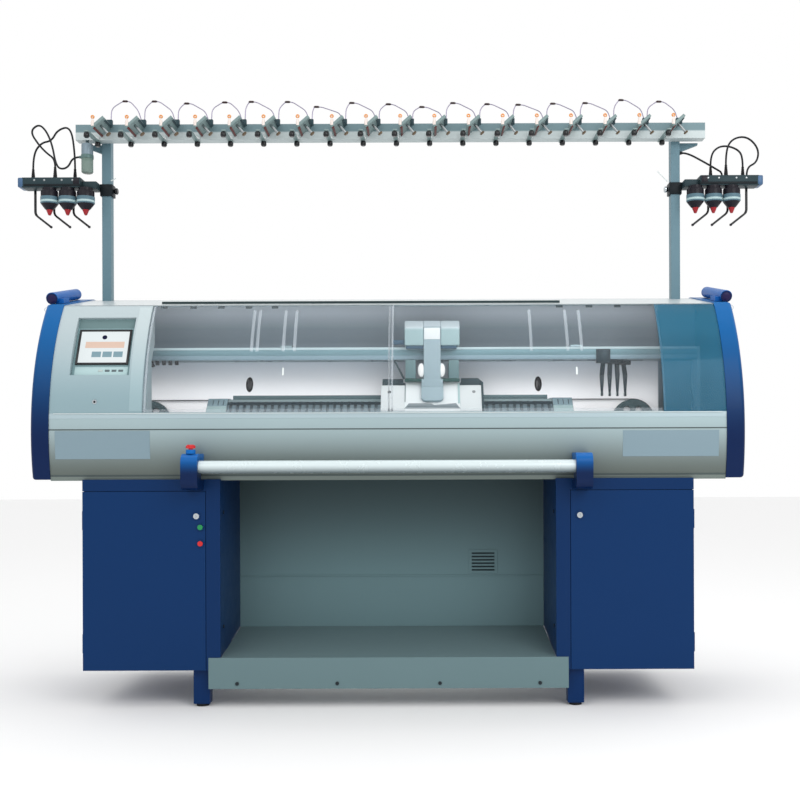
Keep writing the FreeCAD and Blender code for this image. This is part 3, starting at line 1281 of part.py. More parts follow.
feeders = [feeder(f"{word}_feeder_{index}", side * (S.feeder_first + index * S.feeder_pitch))
           for word, side in SIDES for index in range(3)]
rods = [bent_rod(side, (S.feeder_first + S.feeder_pitch * place_along).value)
        for side in (-1, 1) for place_along in (0.87, 1.95, 3)]
node(group("all_feeders", *feeders, free_shape("bent_rods", Part.makeCompound(rods))), "feeder_units")


# ---------------------------------------------------------------- cables of the side feeders
def cable(name, route):
    """A loose cable through its chosen points (X, depth, Z), with arcs as wide as its runs allow."""
    points = [Vector(x, deep(depth).value, z) for x, depth, z in route]
    bends = own_bends(points)
    shape, length = tube_along(points, S.cable_radius.value, bends)
    print(f"{name}: {length:.0f} mm long, radii {', '.join(f'{bend:.0f}' for bend in bends)}")
    node(free_shape(name + "_tube", shape), name)


cable("left_arch_cable", [(-1512, 456, 2172), (-1512, 456, 2236), (-1478, 456, 2285),
                          (-1434, 456, 2292), (-1408, 456, 2340), (-1352, 456, 2354),
                          (-1335, 456, 2235), (-1335, 456, 2172)])
cable("left_lamp_cable", [(-1408, 424, 2172), (-1408, 424, 2206), (-1444, 424, 2232),
                          (-1478, 424, 2268), (-1512, 421, 2322), (-1474, 416, 2352),
                          (-1440, 411, 2322), (-1414, 408, 2260), (-1402, 408, 2190),
                          (-1386, 410, 2160), (-1352, 418, 2168), (-1338, 437, 2218),
                          (-1310, 437, 2218)])
cable("right_post_cable", [(1243, 495, 2243), (1265, 495, 2243), (1330, 488, 2205),
                           (1385, 470, 2165), (1404, 462, 2150), (1404, 462, 2126)])
cable("right_arch_cable", [(1353, 456, 2172), (1353, 456, 2222), (1384, 456, 2258),
                           (1430, 456, 2262), (1478, 456, 2240), (1489, 456, 2204),
                           (1489, 456, 2172)])
cable("right_loop_cable", [(1409, 424, 2172), (1409, 424, 2240), (1440, 424, 2285),
                           (1500, 424, 2292), (1548, 424, 2240), (1540, 424, 2182),
                           (1496, 424, 2162), (1496, 424, 2126)])


# ---------------------------------------------------------------- build, check and write
doc.recompute()
for item in doc.Objects:
    failed = {"Invalid", "Error"} & set(item.State)
    if failed:
        raise RuntimeError(f"{item.Name} is {sorted(failed)}")
os.makedirs("parts", exist_ok=True)
for item in nodes:
    if item.Shape.isNull() or not item.Shape.isValid():
        raise RuntimeError(f"{item.Label} has no valid shape")
    item.Shape.exportStep(f"parts/{item.Label}.step")
print(f"{len(nodes)} pieces written")
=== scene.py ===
import math

import bmesh
import bpy
from mathutils import Matrix, Vector


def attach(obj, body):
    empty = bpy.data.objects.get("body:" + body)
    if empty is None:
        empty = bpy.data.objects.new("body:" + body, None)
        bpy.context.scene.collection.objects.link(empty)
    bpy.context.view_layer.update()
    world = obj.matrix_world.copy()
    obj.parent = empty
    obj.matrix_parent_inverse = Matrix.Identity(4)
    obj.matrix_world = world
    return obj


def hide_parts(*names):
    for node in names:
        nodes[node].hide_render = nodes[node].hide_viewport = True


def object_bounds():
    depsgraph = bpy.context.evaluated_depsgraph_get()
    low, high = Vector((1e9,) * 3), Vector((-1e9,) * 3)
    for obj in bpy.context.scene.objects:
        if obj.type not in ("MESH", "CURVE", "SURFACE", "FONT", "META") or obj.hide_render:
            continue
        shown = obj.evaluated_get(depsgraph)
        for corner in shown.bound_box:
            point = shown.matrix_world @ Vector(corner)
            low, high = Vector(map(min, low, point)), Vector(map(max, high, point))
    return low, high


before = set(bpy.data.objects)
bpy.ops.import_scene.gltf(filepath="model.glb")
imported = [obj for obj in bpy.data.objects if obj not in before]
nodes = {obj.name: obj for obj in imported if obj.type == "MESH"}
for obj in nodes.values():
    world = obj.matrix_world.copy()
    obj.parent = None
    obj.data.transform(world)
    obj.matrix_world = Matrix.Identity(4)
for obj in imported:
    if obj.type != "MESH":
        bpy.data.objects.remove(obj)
packed_low, packed_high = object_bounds()

# ---------------- places of the machine, in metres
FRONT = -0.3345                 # Y of the foremost line of the curved cover
ARC_RADIUS = 0.800
ARC_HEIGHT = 1.050
COVER_HALF = 1.288
WAIST = 1.121                   # seam between the lower cover and the hoods
BROW = 1.556                    # front edge of the sloping top
THROAT = FRONT + 0.300          # plane between the two needle beds
RIDGE = 1.190


def deep(millimetres):
    """Y of a point that lies this many millimetres behind the foremost line of the cover."""
    return FRONT + millimetres / 1000


def cover_y(height, inset=0.0):
    """Y of the curved front at a height, drawn in by the inset."""
    return FRONT + ARC_RADIUS - math.sqrt((ARC_RADIUS - inset) ** 2 - (height - ARC_HEIGHT) ** 2)


def tint(red, green, blue):
    """A display colour as the linear colour that a shader takes."""
    linear = [(part / 255 / 12.92) if part <= 10 else ((part / 255 + 0.055) / 1.055) ** 2.4
              for part in (red, green, blue)]
    return (*linear, 1.0)


# ---------------- shader groups that finishes share
MID_GREY = (0.5, 0.5, 0.5, 1.0)
DUST_COLOUR = (0.55, 0.54, 0.51, 1.0)


def put(tree, kind, values=None, links=None, **settings):
    """A shader node with its settings, fixed socket values and incoming links."""
    node = tree.nodes.new("ShaderNode" + kind)
    for label, value in settings.items():
        setattr(node, label, value)
    for key, value in (values or {}).items():
        node.inputs[key].default_value = value
    for key, source in (links or {}).items():
        tree.links.new(source, node.inputs[key])
    return node


def place_on_object(tree):
    """Object coordinates, which are metres in the machine's own frame."""
    return put(tree, "TexCoord").outputs["Object"]


def spread(tree, source, low, high):
    """Maps 0..1 to low..high."""
    return put(tree, "MapRange", {"To Min": low, "To Max": high}, {"Value": source}).outputs["Result"]


def share_between(tree, source, low, high):
    """Maps low..high to 0..1."""
    return put(tree, "MapRange", {"From Min": low, "From Max": high}, {"Value": source}).outputs["Result"]


def maths(tree, operation, first, second):
    """A sum or a product whose second term is a number or a socket."""
    if isinstance(second, float):
        return put(tree, "Math", {1: second}, {0: first}, operation=operation).outputs[0]
    return put(tree, "Math", {}, {0: first, 1: second}, operation=operation).outputs[0]


def swing(tree, source, amount):
    """Maps 0..1 to minus and plus the amount."""
    return maths(tree, "MULTIPLY", spread(tree, source, -1, 1), amount)


def shaded(tree, colour, value):
    """A colour made darker or lighter."""
    return put(tree, "HueSaturation", {}, {"Color": colour, "Value": value}).outputs["Color"]


def grain(tree, vector, scale, detail, roughness=0.5):
    """Noise of the given scale."""
    return put(tree, "TexNoise", {"Scale": scale, "Detail": detail, "Roughness": roughness},
               {"Vector": vector}).outputs["Fac"]


def start_group(name, inputs, outputs=("Colour", "Roughness", "Height")):
    """A node group with its sockets; gives the group, what comes in and the place on the object."""
    group = bpy.data.node_groups.new(name, "ShaderNodeTree")
    for label, value in inputs.items():
        kind = "Float" if isinstance(value, float) else "Color" if len(value) == 4 else "Vector"
        socket = group.interface.new_socket(label, in_out="INPUT", socket_type="NodeSocket" + kind)
        socket.default_value = value
    for label in outputs:
        kind = "Color" if label == "Colour" else "Float"
        group.interface.new_socket(label, in_out="OUTPUT", socket_type="NodeSocket" + kind)
    return group, group.nodes.new("NodeGroupInput").outputs, place_on_object(group)


def end_group(group, *results):
    """Joins the results to the group's outputs in their order."""
    out = group.nodes.new("NodeGroupOutput")
    for socket, source in zip(out.inputs, results):
        group.links.new(source, socket)
    return group


def make_sprayed_paint():
    """Paint sprayed on sheet metal: slow drift of shade, faint dust on faces that look up, orange peel."""
    group, given, place = start_group("sprayed_paint", {"Colour": MID_GREY, "Drift": 0.08, "Roughness": 0.35,
                                                        "Peel": 1.0, "Dust": 0.06})
    slow = grain(group, place, 1.7, 4)
    small = grain(group, place, 24.0, 5, 0.6)
    shade = shaded(group, given["Colour"], maths(group, "ADD", swing(group, slow, given["Drift"]), 1.0))
    facing = put(group, "SeparateXYZ", {}, {0: put(group, "NewGeometry").outputs["Normal"]}).outputs["Z"]
    lying = maths(group, "MULTIPLY", share_between(group, facing, 0.35, 1.0), small)
    dust = maths(group, "MULTIPLY", lying, given["Dust"])
    mixed = put(group, "MixRGB", {"Color2": DUST_COLOUR}, {"Fac": dust, "Color1": shade}).outputs[0]
    rough = maths(group, "ADD", given["Roughness"], swing(group, small, 0.07))
    peel = maths(group, "MULTIPLY", grain(group, place, 420.0, 2), 0.00005)
    return end_group(group, mixed, rough, maths(group, "MULTIPLY", peel, given["Peel"]))


def make_drawn_metal():
    """Metal ground or drawn along one axis: fine lines stretched along it, and stains of handling."""
    group, given, place = start_group("drawn_metal", {"Colour": MID_GREY, "Lines": (3.0, 500.0, 500.0),
                                                      "Roughness": 0.3, "Depth": 1.0})
    stretched = put(group, "VectorMath", {}, {0: place, 1: given["Lines"]}, operation="MULTIPLY")
    lines = grain(group, stretched.outputs[0], 1.0, 3, 0.6)
    stains = grain(group, place, 7.0, 4)
    value = maths(group, "MULTIPLY", spread(group, lines, 0.86, 1.12), spread(group, stains, 0.92, 1.06))
    rough = maths(group, "ADD", given["Roughness"], swing(group, stains, 0.10))
    ridges = maths(group, "MULTIPLY", lines, 0.00004)
    return end_group(group, shaded(group, given["Colour"], value), rough,
                     maths(group, "MULTIPLY", ridges, given["Depth"]))


def make_moulded_skin():
    """The fine even grain of moulded plastic or rubber, with softly varying gloss."""
    group, given, place = start_group("moulded_skin", {"Colour": MID_GREY, "Roughness": 0.4, "Grain": 1.0,
                                                       "Drift": 0.06})
    slow = grain(group, place, 18.0, 4)
    shade = shaded(group, given["Colour"], maths(group, "ADD", swing(group, slow, given["Drift"]), 1.0))
    rough = maths(group, "ADD", given["Roughness"], swing(group, slow, 0.08))
    pits = maths(group, "MULTIPLY", grain(group, place, 900.0, 2), 0.00006)
    return end_group(group, shade, rough, maths(group, "MULTIPLY", pits, given["Grain"]))


def make_height_fade():
    """Fades between two colours as the surface climbs from a low height to a high one, for painted light and
    shade.
    """
    group, given, place = start_group("height_fade", {"Low Colour": MID_GREY, "High Colour": MID_GREY,
                                                      "Low": 0.0, "High": 1.0}, ("Colour",))
    climb = put(group, "SeparateXYZ", {}, {0: place}).outputs["Z"]
    share = put(group, "MapRange", {}, {"Value": climb, "From Min": given["Low"], "From Max": given["High"]},
                interpolation_type="SMOOTHSTEP").outputs["Result"]
    mix = put(group, "MixRGB", {}, {"Fac": share, "Color1": given["Low Colour"],
                                    "Color2": given["High Colour"]})
    return end_group(group, mix.outputs[0])


SPRAYED_PAINT = make_sprayed_paint()
DRAWN_METAL = make_drawn_metal()
MOULDED_SKIN = make_moulded_skin()
HEIGHT_FADE = make_height_fade()

# ---------------- finishes
PAINT_SHINE, SKIN_SHINE, SCREEN_SHINE = 0.12, 0.2, 0.15         # specular levels


def base_material(name, **shader_values):
    """A new material, its tree and its shader, with plain values set (underscores stand for spaces)."""
    material = bpy.data.materials.new(name)
    material.use_nodes = True
    shader = material.node_tree.nodes["Principled BSDF"]
    for label, value in shader_values.items():
        shader.inputs[label.replace("_", " ")].default_value = value
    return material, material.node_tree, shader


def grouped(tree, group, values):
    """A shared group placed in a material with its own values."""
    node = put(tree, "Group", node_tree=group)
    for label, value in values.items():
        node.inputs[label].default_value = value
    return node


def dress(material, tree, shader, group, edge, colour_source=None, **values):
    """Places a shared group in a material and joins its outputs to the shader; a bevel rounds the edges."""
    node = grouped(tree, group, values)
    if colour_source is not None:
        tree.links.new(colour_source, node.inputs["Colour"])
    tree.links.new(node.outputs["Colour"], shader.inputs["Base Color"])
    tree.links.new(node.outputs["Roughness"], shader.inputs["Roughness"])
    bump = put(tree, "Bump", {"Strength": 1.0, "Distance": 1.0}, {"Height": node.outputs["Height"]})
    if edge:
        rounded = put(tree, "Bevel", {"Radius": edge}, samples=4)
        tree.links.new(rounded.outputs["Normal"], bump.inputs["Normal"])
    tree.links.new(bump.outputs["Normal"], shader.inputs["Normal"])
    return material


def painted(name, colour, roughness, metallic, coat, drift, dust=0.06, edge=0.0015):
    """Sprayed paint of one colour."""
    parts = base_material(name, Metallic=metallic, Coat_Weight=coat, Coat_Roughness=0.08,
                          Specular_IOR_Level=PAINT_SHINE)
    return dress(*parts, SPRAYED_PAINT, edge, Colour=tint(*colour), Drift=drift, Roughness=roughness,
                 Dust=dust)


def paint_with_painted_light(name, low_colour, high_colour, low, high, roughness, metallic, coat):
    """Paint with painted light and shade: its colour changes slowly with height for how light falls on the
    tall curved shells.
    """
    parts = base_material(name, Metallic=metallic, Coat_Weight=coat, Coat_Roughness=0.08,
                          Specular_IOR_Level=PAINT_SHINE)
    fade = grouped(parts[1], HEIGHT_FADE, {"Low": low, "Low Colour": tint(*low_colour),
                                           "High": high, "High Colour": tint(*high_colour)})
    return dress(*parts, SPRAYED_PAINT, 0.0015, fade.outputs["Colour"], Drift=0.04, Roughness=roughness,
                 Dust=0.05)


def drawn(name, colour, lines, roughness, metallic):
    """Bare metal with fine lines."""
    parts = base_material(name, Metallic=metallic)
    return dress(*parts, DRAWN_METAL, 0.0008, Colour=tint(*colour), Lines=lines, Roughness=roughness,
                 Depth=1.0)


def moulded(name, colour, roughness, grain_depth, coat):
    """Moulded plastic, glazed ceramic or rubber."""
    parts = base_material(name, Coat_Weight=coat, Coat_Roughness=0.06, Specular_IOR_Level=SKIN_SHINE)
    return dress(*parts, MOULDED_SKIN, 0.001, Colour=tint(*colour), Roughness=roughness, Grain=grain_depth,
                 Drift=0.06)


def clear(name, colour, alpha_face, alpha_edge, roughness):
    """A bent clear sheet: nearly see-through face on, denser and shinier where it turns away."""
    material, tree, shader = base_material(name, IOR=1.46, Transmission_Weight=0.0,
                                           Specular_IOR_Level=SKIN_SHINE)
    streaks = put(tree, "VectorMath", {1: (0.6, 2.0, 3.5)}, {0: place_on_object(tree)}, operation="MULTIPLY")
    haze = grain(tree, streaks.outputs[0], 2.2, 4)
    shade = put(tree, "HueSaturation", {"Color": tint(*colour)}, {"Value": spread(tree, haze, 0.85, 1.12)})
    tree.links.new(shade.outputs["Color"], shader.inputs["Base Color"])
    tree.links.new(spread(tree, haze, roughness * 0.5, roughness * 1.8), shader.inputs["Roughness"])
    turning = put(tree, "LayerWeight", {"Blend": 0.25}).outputs["Facing"]
    dense = spread(tree, turning, alpha_face, alpha_edge)
    patch = maths(tree, "MULTIPLY", dense, spread(tree, haze, 0.75, 1.25))
    tree.links.new(patch, shader.inputs["Alpha"])
    return material


def glowing(name, colour, strength):
    """A lit display face with the fine lines of its pixel rows."""
    lit = tint(*colour)
    dimmed = (*[part * 0.25 for part in lit[:3]], 1.0)
    material, tree, shader = base_material(name, Roughness=0.12, Emission_Strength=strength,
                                           Base_Color=dimmed, Specular_IOR_Level=SCREEN_SHINE)
    rows = put(tree, "TexWave", {"Scale": 900.0, "Distortion": 0.0}, {"Vector": place_on_object(tree)},
               bands_direction="X").outputs["Fac"]
    shade = put(tree, "HueSaturation", {"Color": lit}, {"Value": spread(tree, rows, 0.92, 1.04)})
    tree.links.new(shade.outputs["Color"], shader.inputs["Emission Color"])
    return material


# colour, roughness, metallic, coat, drift of the shade
PAINTS = {
    "cap_shade": ((6, 26, 70), 0.32, 0.0, 0.1, 0.06),
    "cabinet_navy": ((5, 42, 86), 0.36, 0.0, 0.0, 0.05),
    "door_navy": ((6, 46, 92), 0.34, 0.0, 0.0, 0.05),
    "leg_navy": ((6, 42, 88), 0.38, 0.0, 0.0, 0.06),
    "cover_top_highlight": ((166, 184, 190), 0.34, 0.15, 0.05, 0.03),
    "cover_foot": ((112, 122, 118), 0.36, 0.15, 0.0, 0.03),
    "fold_shade": ((78, 88, 88), 0.45, 0.1, 0.0, 0.03),
    "plate_bare": ((128, 149, 159), 0.36, 0.2, 0.0, 0.02),
    "top_grey": ((196, 204, 206), 0.34, 0.2, 0.2, 0.06),
    "rear_grey": ((150, 164, 168), 0.36, 0.15, 0.0, 0.06),
    "tray_grey": ((102, 125, 129), 0.38, 0.1, 0.0, 0.06),
    "stand_grey": ((99, 127, 138), 0.38, 0.1, 0.0, 0.06),
    "unit_grey": ((124, 143, 143), 0.38, 0.1, 0.0, 0.06),
    "unit_dark": ((52, 70, 76), 0.42, 0.1, 0.0, 0.06),
    "bright_lip_highlight": ((194, 216, 222), 0.30, 0.0, 0.1, 0.02),
    "channel_teal": ((120, 154, 164), 0.36, 0.1, 0.0, 0.03),
    "channel_pale": ((138, 164, 177), 0.34, 0.1, 0.0, 0.03),
    "strip_pale": ((158, 178, 182), 0.36, 0.3, 0.1, 0.03),
    "strip_dark": ((40, 58, 66), 0.36, 0.3, 0.1, 0.03),
    "comb_teal": ((88, 110, 114), 0.40, 0.4, 0.0, 0.05),
    "end_slate": ((142, 168, 178), 0.36, 0.2, 0.1, 0.06),
    "end_pale": ((188, 216, 218), 0.32, 0.15, 0.2, 0.06),
    "end_dark": ((92, 112, 120), 0.40, 0.2, 0.0, 0.06),
    "lip_slate": ((58, 90, 112), 0.38, 0.2, 0.1, 0.06),
    "upright_teal": ((104, 132, 136), 0.38, 0.1, 0.0, 0.06),
    "bar_green": ((40, 78, 74), 0.40, 0.1, 0.1, 0.06),
    "plate_teal": ((44, 60, 65), 0.40, 0.1, 0.0, 0.06),
    "plate_dark": ((26, 32, 36), 0.42, 0.1, 0.0, 0.06),
    "end_blue": ((70, 98, 130), 0.34, 0.2, 0.2, 0.06),
    "lamp_shell": ((126, 142, 152), 0.36, 0.3, 0.0, 0.06),
    "lamp_band": ((92, 116, 114), 0.38, 0.2, 0.1, 0.06),
    "panel_sage": ((124, 152, 156), 0.40, 0.1, 0.0, 0.03),
    "panel_shade": ((104, 128, 130), 0.42, 0.1, 0.0, 0.03),
    "key_strip": ((172, 198, 200), 0.36, 0.05, 0.0, 0.03),
    "vent_shade": ((44, 58, 62), 0.5, 0.0, 0.0, 0.06),
    "rail_shade": ((48, 62, 64), 0.42, 0.1, 0.0, 0.06),
    "pulley_dark": ((44, 66, 70), 0.42, 0.1, 0.0, 0.06),
}
# painted light and shade by height: colour low down, colour high up, the two heights, roughness, metallic,
# coat
# lighter upward as painted light on caps, corner tubes, brackets, cover, housing, start bar, arm and head;
# darker upward as painted shade on the back panel and beam
PAINTED_LIGHT_FADES = {
    "cap_blue": ((4, 30, 72), (10, 94, 158), 1.00, 1.58, 0.34, 0.0, 0.03),
    "tube_blue": ((3, 30, 78), (10, 92, 168), 1.520, 1.566, 0.34, 0.0, 0.0),
    "bracket_blue": ((5, 30, 70), (12, 98, 174), 0.885, 0.970, 0.30, 0.0, 0.05),
    "cover_grey": ((96, 104, 100), (158, 177, 181), 0.88, 1.10, 0.36, 0.2, 0.05),
    "housing_grey": ((136, 160, 167), (176, 189, 193), 1.16, 1.50, 0.34, 0.1, 0.05),
    "housing_rim": ((146, 170, 176), (186, 199, 202), 1.16, 1.50, 0.34, 0.1, 0.05),
    "panel_grey": ((101, 128, 133), (69, 86, 89), 0.40, 0.86, 0.40, 0.1, 0.0),
    "beam_steel": ((186, 196, 197), (112, 135, 141), 2.316, 2.324, 0.38, 0.1, 0.0),
    "bar_pale": ((126, 138, 141), (206, 218, 220), 0.893, 0.922, 0.26, 0.15, 0.1),
    "arm_pale": ((158, 180, 189), (202, 216, 223), 1.466, 1.476, 0.34, 0.05, 0.05),
    "head_pale": ((160, 188, 192), (204, 218, 224), 1.455, 1.470, 0.34, 0.05, 0.05),
}
# colour, how the lines are stretched along each axis, roughness, metallic
METALS = {
    "bed_steel": ((196, 216, 224), (3.0, 500.0, 500.0), 0.36, 1.0),
    "bed_dark": ((120, 136, 144), (3.0, 300.0, 300.0), 0.38, 1.0),
    "rail_steel": ((158, 180, 188), (2.0, 600.0, 600.0), 0.28, 1.0),
    "needle_steel": ((186, 195, 200), (40.0, 40.0, 300.0), 0.25, 1.0),
    "roller_steel": ((96, 108, 112), (3.0, 400.0, 400.0), 0.4, 1.0),
    "screw_steel": ((150, 156, 158), (300.0, 300.0, 60.0), 0.3, 1.0),
    "dark_screw": ((52, 58, 62), (200.0, 200.0, 60.0), 0.4, 1.0),
    "wire_mauve": ((150, 142, 166), (60.0, 60.0, 60.0), 0.35, 0.5),
    "bezel_bright": ((190, 196, 200), (300.0, 60.0, 300.0), 0.22, 1.0),
}
# colour, roughness, depth of the grain, coat
MOULDINGS = {
    "carriage_white": ((222, 229, 231), 0.32, 0.5, 0.25),
    "bright_white_and_highlight": ((233, 240, 242), 0.30, 0.4, 0.25),
    "grip_grey": ((142, 153, 158), 0.45, 1.0, 0.0),
    "grip_shade": ((96, 112, 118), 0.45, 1.0, 0.0),
    "strip_teal": ((176, 204, 206), 0.35, 0.6, 0.0),
    "knob_white": ((246, 248, 248), 0.14, 0.2, 0.6),
    "carrier_dark": ((28, 46, 54), 0.38, 0.8, 0.0),
    "black_plastic": ((20, 22, 25), 0.42, 1.4, 0.0),
    "black_gloss": ((12, 14, 18), 0.18, 0.3, 0.4),
    "ceramic_pale": ((215, 222, 222), 0.18, 0.2, 0.4),
    "eyelet_orange": ((222, 150, 84), 0.25, 0.3, 0.4),
    "post_peach": ((226, 214, 208), 0.25, 0.3, 0.3),
    "bead_dark": ((44, 20, 22), 0.25, 0.3, 0.4),
    "disc_brown": ((108, 92, 74), 0.35, 0.8, 0.0),
    "disc_plum": ((30, 22, 66), 0.35, 0.6, 0.0),
    "strip_red_brown": ((92, 36, 34), 0.4, 0.8, 0.0),
    "feeder_blue_grey": ((84, 112, 124), 0.36, 1.0, 0.0),
    "feeder_pale": ((168, 192, 194), 0.34, 0.8, 0.0),
    "feeder_black": ((26, 24, 32), 0.34, 1.0, 0.0),
    "tip_red": ((150, 22, 32), 0.3, 0.4, 0.3),
    "button_red": ((196, 28, 32), 0.22, 0.2, 0.5),
    "button_green": ((16, 130, 72), 0.22, 0.2, 0.5),
    "rubber_black": ((22, 22, 24), 0.62, 2.0, 0.0),
    "cable_black": ((24, 26, 30), 0.40, 1.2, 0.0),
    "key_pale": ((176, 190, 188), 0.40, 1.0, 0.0),
    "key_dark": ((92, 104, 108), 0.40, 1.0, 0.0),
}
# colour, alpha face on, alpha at the turning edge, roughness
CLEAR_SHEETS = {
    "lamp_milk": ((118, 140, 132), 0.78, 0.94, 0.25),
    "hood_clear": ((214, 224, 232), 0.02, 0.26, 0.05),
    # the hoods' edge strips, also used for the pale lines that are painted reflections
    "hood_rim_and_glint": ((212, 222, 230), 0.20, 0.5, 0.1),
    "window_tint": ((52, 118, 148), 0.40, 0.85, 0.06),
    "track_clear": ((214, 224, 232), 0.10, 0.4, 0.1),
}
# colour, strength of its light
LIT_FACES = {
    "screen_lit": ((236, 244, 246), 0.66),
    "screen_peach": ((238, 208, 190), 0.62),
    "screen_slate": ((140, 172, 184), 0.60),
    "screen_navy": ((12, 20, 62), 0.5),
}
FINISH = {}
for make, rows in ((painted, PAINTS), (paint_with_painted_light, PAINTED_LIGHT_FADES), (drawn, METALS), (moulded, MOULDINGS),
                   (clear, CLEAR_SHEETS), (glowing, LIT_FACES)):
    for name, row in rows.items():
        FINISH[name] = make(name, *row)

# painted light and shade on the inner wall: pale near the beds, darker round the rails
WALL_FOOT, WALL_HEAD = 1.16, 1.56
WALL_LIGHT_STOPS = (
    (0.0, (250, 250, 252)), (0.12, (242, 243, 246)), (0.26, (226, 228, 232)), (0.46, (182, 191, 201)),
    (0.58, (132, 149, 161)), (0.70, (110, 128, 140)), (0.84, (134, 153, 166)), (1.0, (212, 222, 232)))


def wall_with_painted_light(name):
    """The wall behind the rails, with painted light and shade: near white at the beds as painted light, dark
    at the rails as painted shade, and dark teal past its right end, darker towards the bottom.
    """
    material, tree, shader = base_material(name, Coat_Weight=0.15, Coat_Roughness=0.1)
    place = put(tree, "SeparateXYZ", {}, {0: place_on_object(tree)}).outputs
    share = share_between(tree, place["Z"], WALL_FOOT, WALL_HEAD)
    ramp = put(tree, "ValToRGB", {}, {"Fac": share})
    stops = ramp.color_ramp.elements
    stops[0].position, stops[0].color = WALL_LIGHT_STOPS[0][0], tint(*WALL_LIGHT_STOPS[0][1])
    stops[1].position, stops[1].color = WALL_LIGHT_STOPS[-1][0], tint(*WALL_LIGHT_STOPS[-1][1])
    for position, colour in WALL_LIGHT_STOPS[1:-1]:
        stops.new(position).color = tint(*colour)
    beyond = share_between(tree, place["X"], 1.128, 1.134)
    shade = put(tree, "MixRGB", {"Color1": tint(26, 48, 58), "Color2": tint(120, 148, 166)}, {"Fac": share})
    wall = put(tree, "MixRGB", {}, {"Fac": beyond, "Color1": ramp.outputs["Color"],
                                    "Color2": shade.outputs[0]})
    return dress(material, tree, shader, SPRAYED_PAINT, 0.001, wall.outputs[0], Drift=0.03, Roughness=0.35,
                 Dust=0.0)


FINISH["inner_wall"] = wall_with_painted_light("inner_wall")


# ---------------- forms
def block(low, high, round_by=0.001, steps=2):
    """A box between two corners with rounded edges."""
    form = bmesh.new()
    bmesh.ops.create_cube(form, size=1)
    low, high = Vector(low), Vector(high)
    size = high - low
    form.transform(Matrix.Translation((low + high) / 2) @ Matrix.Diagonal((*size, 1)))
    if round_by:
        bmesh.ops.bevel(form, geom=form.edges[:], offset=min(round_by, min(size) * 0.45), segments=steps,
                        profile=0.5, affect="EDGES", clamp_overlap=True)
    return form


AXIS_TURN = {"x": Matrix.Rotation(math.radians(90), 4, "Y"),
             "y": Matrix.Rotation(math.radians(-90), 4, "X"),
             "z": Matrix.Identity(4)}


ORIGIN = (0, 0, 0)


def turned(profile, spot, axis="z", sides=32):
    """A lathe form from (radius, distance along the axis) points, closed by a radius of 0 or by a ring."""
    form = bmesh.new()
    rings = []
    for radius, along in profile:
        if radius < 1e-6:
            rings.append([form.verts.new((0, 0, along))])
        else:
            rings.append([form.verts.new((radius * math.cos(2 * math.pi * side / sides),
                                          radius * math.sin(2 * math.pi * side / sides), along))
                          for side in range(sides)])
    for lower, upper in zip(rings, rings[1:]):
        for side in range(sides):
            after = (side + 1) % sides
            corners = [lower[side % len(lower)], lower[after % len(lower)],
                       upper[after % len(upper)], upper[side % len(upper)]]
            form.faces.new(list(dict.fromkeys(corners)))
    bmesh.ops.recalc_face_normals(form, faces=form.faces[:])
    form.transform(Matrix.Translation(Vector(spot)) @ AXIS_TURN[axis])
    return form


def drum(radius, start, end, edge=0.001):
    """Profile of a solid cylinder with rounded rims."""
    slight = edge * 0.3
    return [(0, start), (radius - edge, start), (radius - slight, start + slight), (radius, start + edge),
            (radius, end - edge), (radius - slight, end - slight), (radius - edge, end), (0, end)]


def outline_form(points, span, axis="y", round_by=0.0, steps=2):
    """A flat outline swept along an axis: (X, Z) points along y, or (Y, Z) points along x."""
    form = bmesh.new()
    start, end = span
    corner = (lambda u, v, s: (u, s, v)) if axis == "y" else (lambda u, v, s: (s, u, v))
    near = [form.verts.new(corner(u, v, start)) for u, v in points]
    far = [form.verts.new(corner(u, v, end)) for u, v in points]
    form.faces.new(near)
    form.faces.new(list(reversed(far)))
    for index in range(len(points)):
        after = (index + 1) % len(points)
        form.faces.new([near[after], near[index], far[index], far[after]])
    bmesh.ops.recalc_face_normals(form, faces=form.faces[:])
    if round_by:
        bmesh.ops.bevel(form, geom=form.edges[:], offset=round_by, segments=steps, profile=0.5,
                        affect="EDGES", clamp_overlap=True)
    return form


def tube(points, radius, sides=12):
    """A round tube along points, with a steady frame so that it doesn't twist."""
    form = bmesh.new()
    points = [Vector(point) for point in points]
    radii = radius if isinstance(radius, (list, tuple)) else [radius] * len(points)
    across = None
    rings = []
    for index, point in enumerate(points):
        before, after = points[max(index - 1, 0)], points[min(index + 1, len(points) - 1)]
        along = (after - before).normalized()
        if across is None:
            across = along.orthogonal().normalized()
        across = (across - along * across.dot(along)).normalized()
        other = along.cross(across)
        rings.append([form.verts.new(point + (across * math.cos(2 * math.pi * side / sides)
                                              + other * math.sin(2 * math.pi * side / sides)) * radii[index])
                      for side in range(sides)])
    for lower, upper in zip(rings, rings[1:]):
        for side in range(sides):
            after = (side + 1) % sides
            form.faces.new([lower[side], lower[after], upper[after], upper[side]])
    form.faces.new(list(reversed(rings[0])))
    form.faces.new(rings[-1])
    bmesh.ops.recalc_face_normals(form, faces=form.faces[:])
    return form


def eased(corners, radius, steps=6):
    """A path through corners with each corner rounded by the radius."""
    corners = [Vector(corner) for corner in corners]
    path = [corners[0]]
    for before, corner, after in zip(corners, corners[1:], corners[2:]):
        into, out = (before - corner).normalized(), (after - corner).normalized()
        reach = min(radius, (before - corner).length * 0.45, (after - corner).length * 0.45)
        start, end = corner + into * reach, corner + out * reach
        for step in range(steps + 1):
            share = step / steps
            path.append(start.lerp(corner, share).lerp(corner.lerp(end, share), share))
    return path + [corners[-1]]


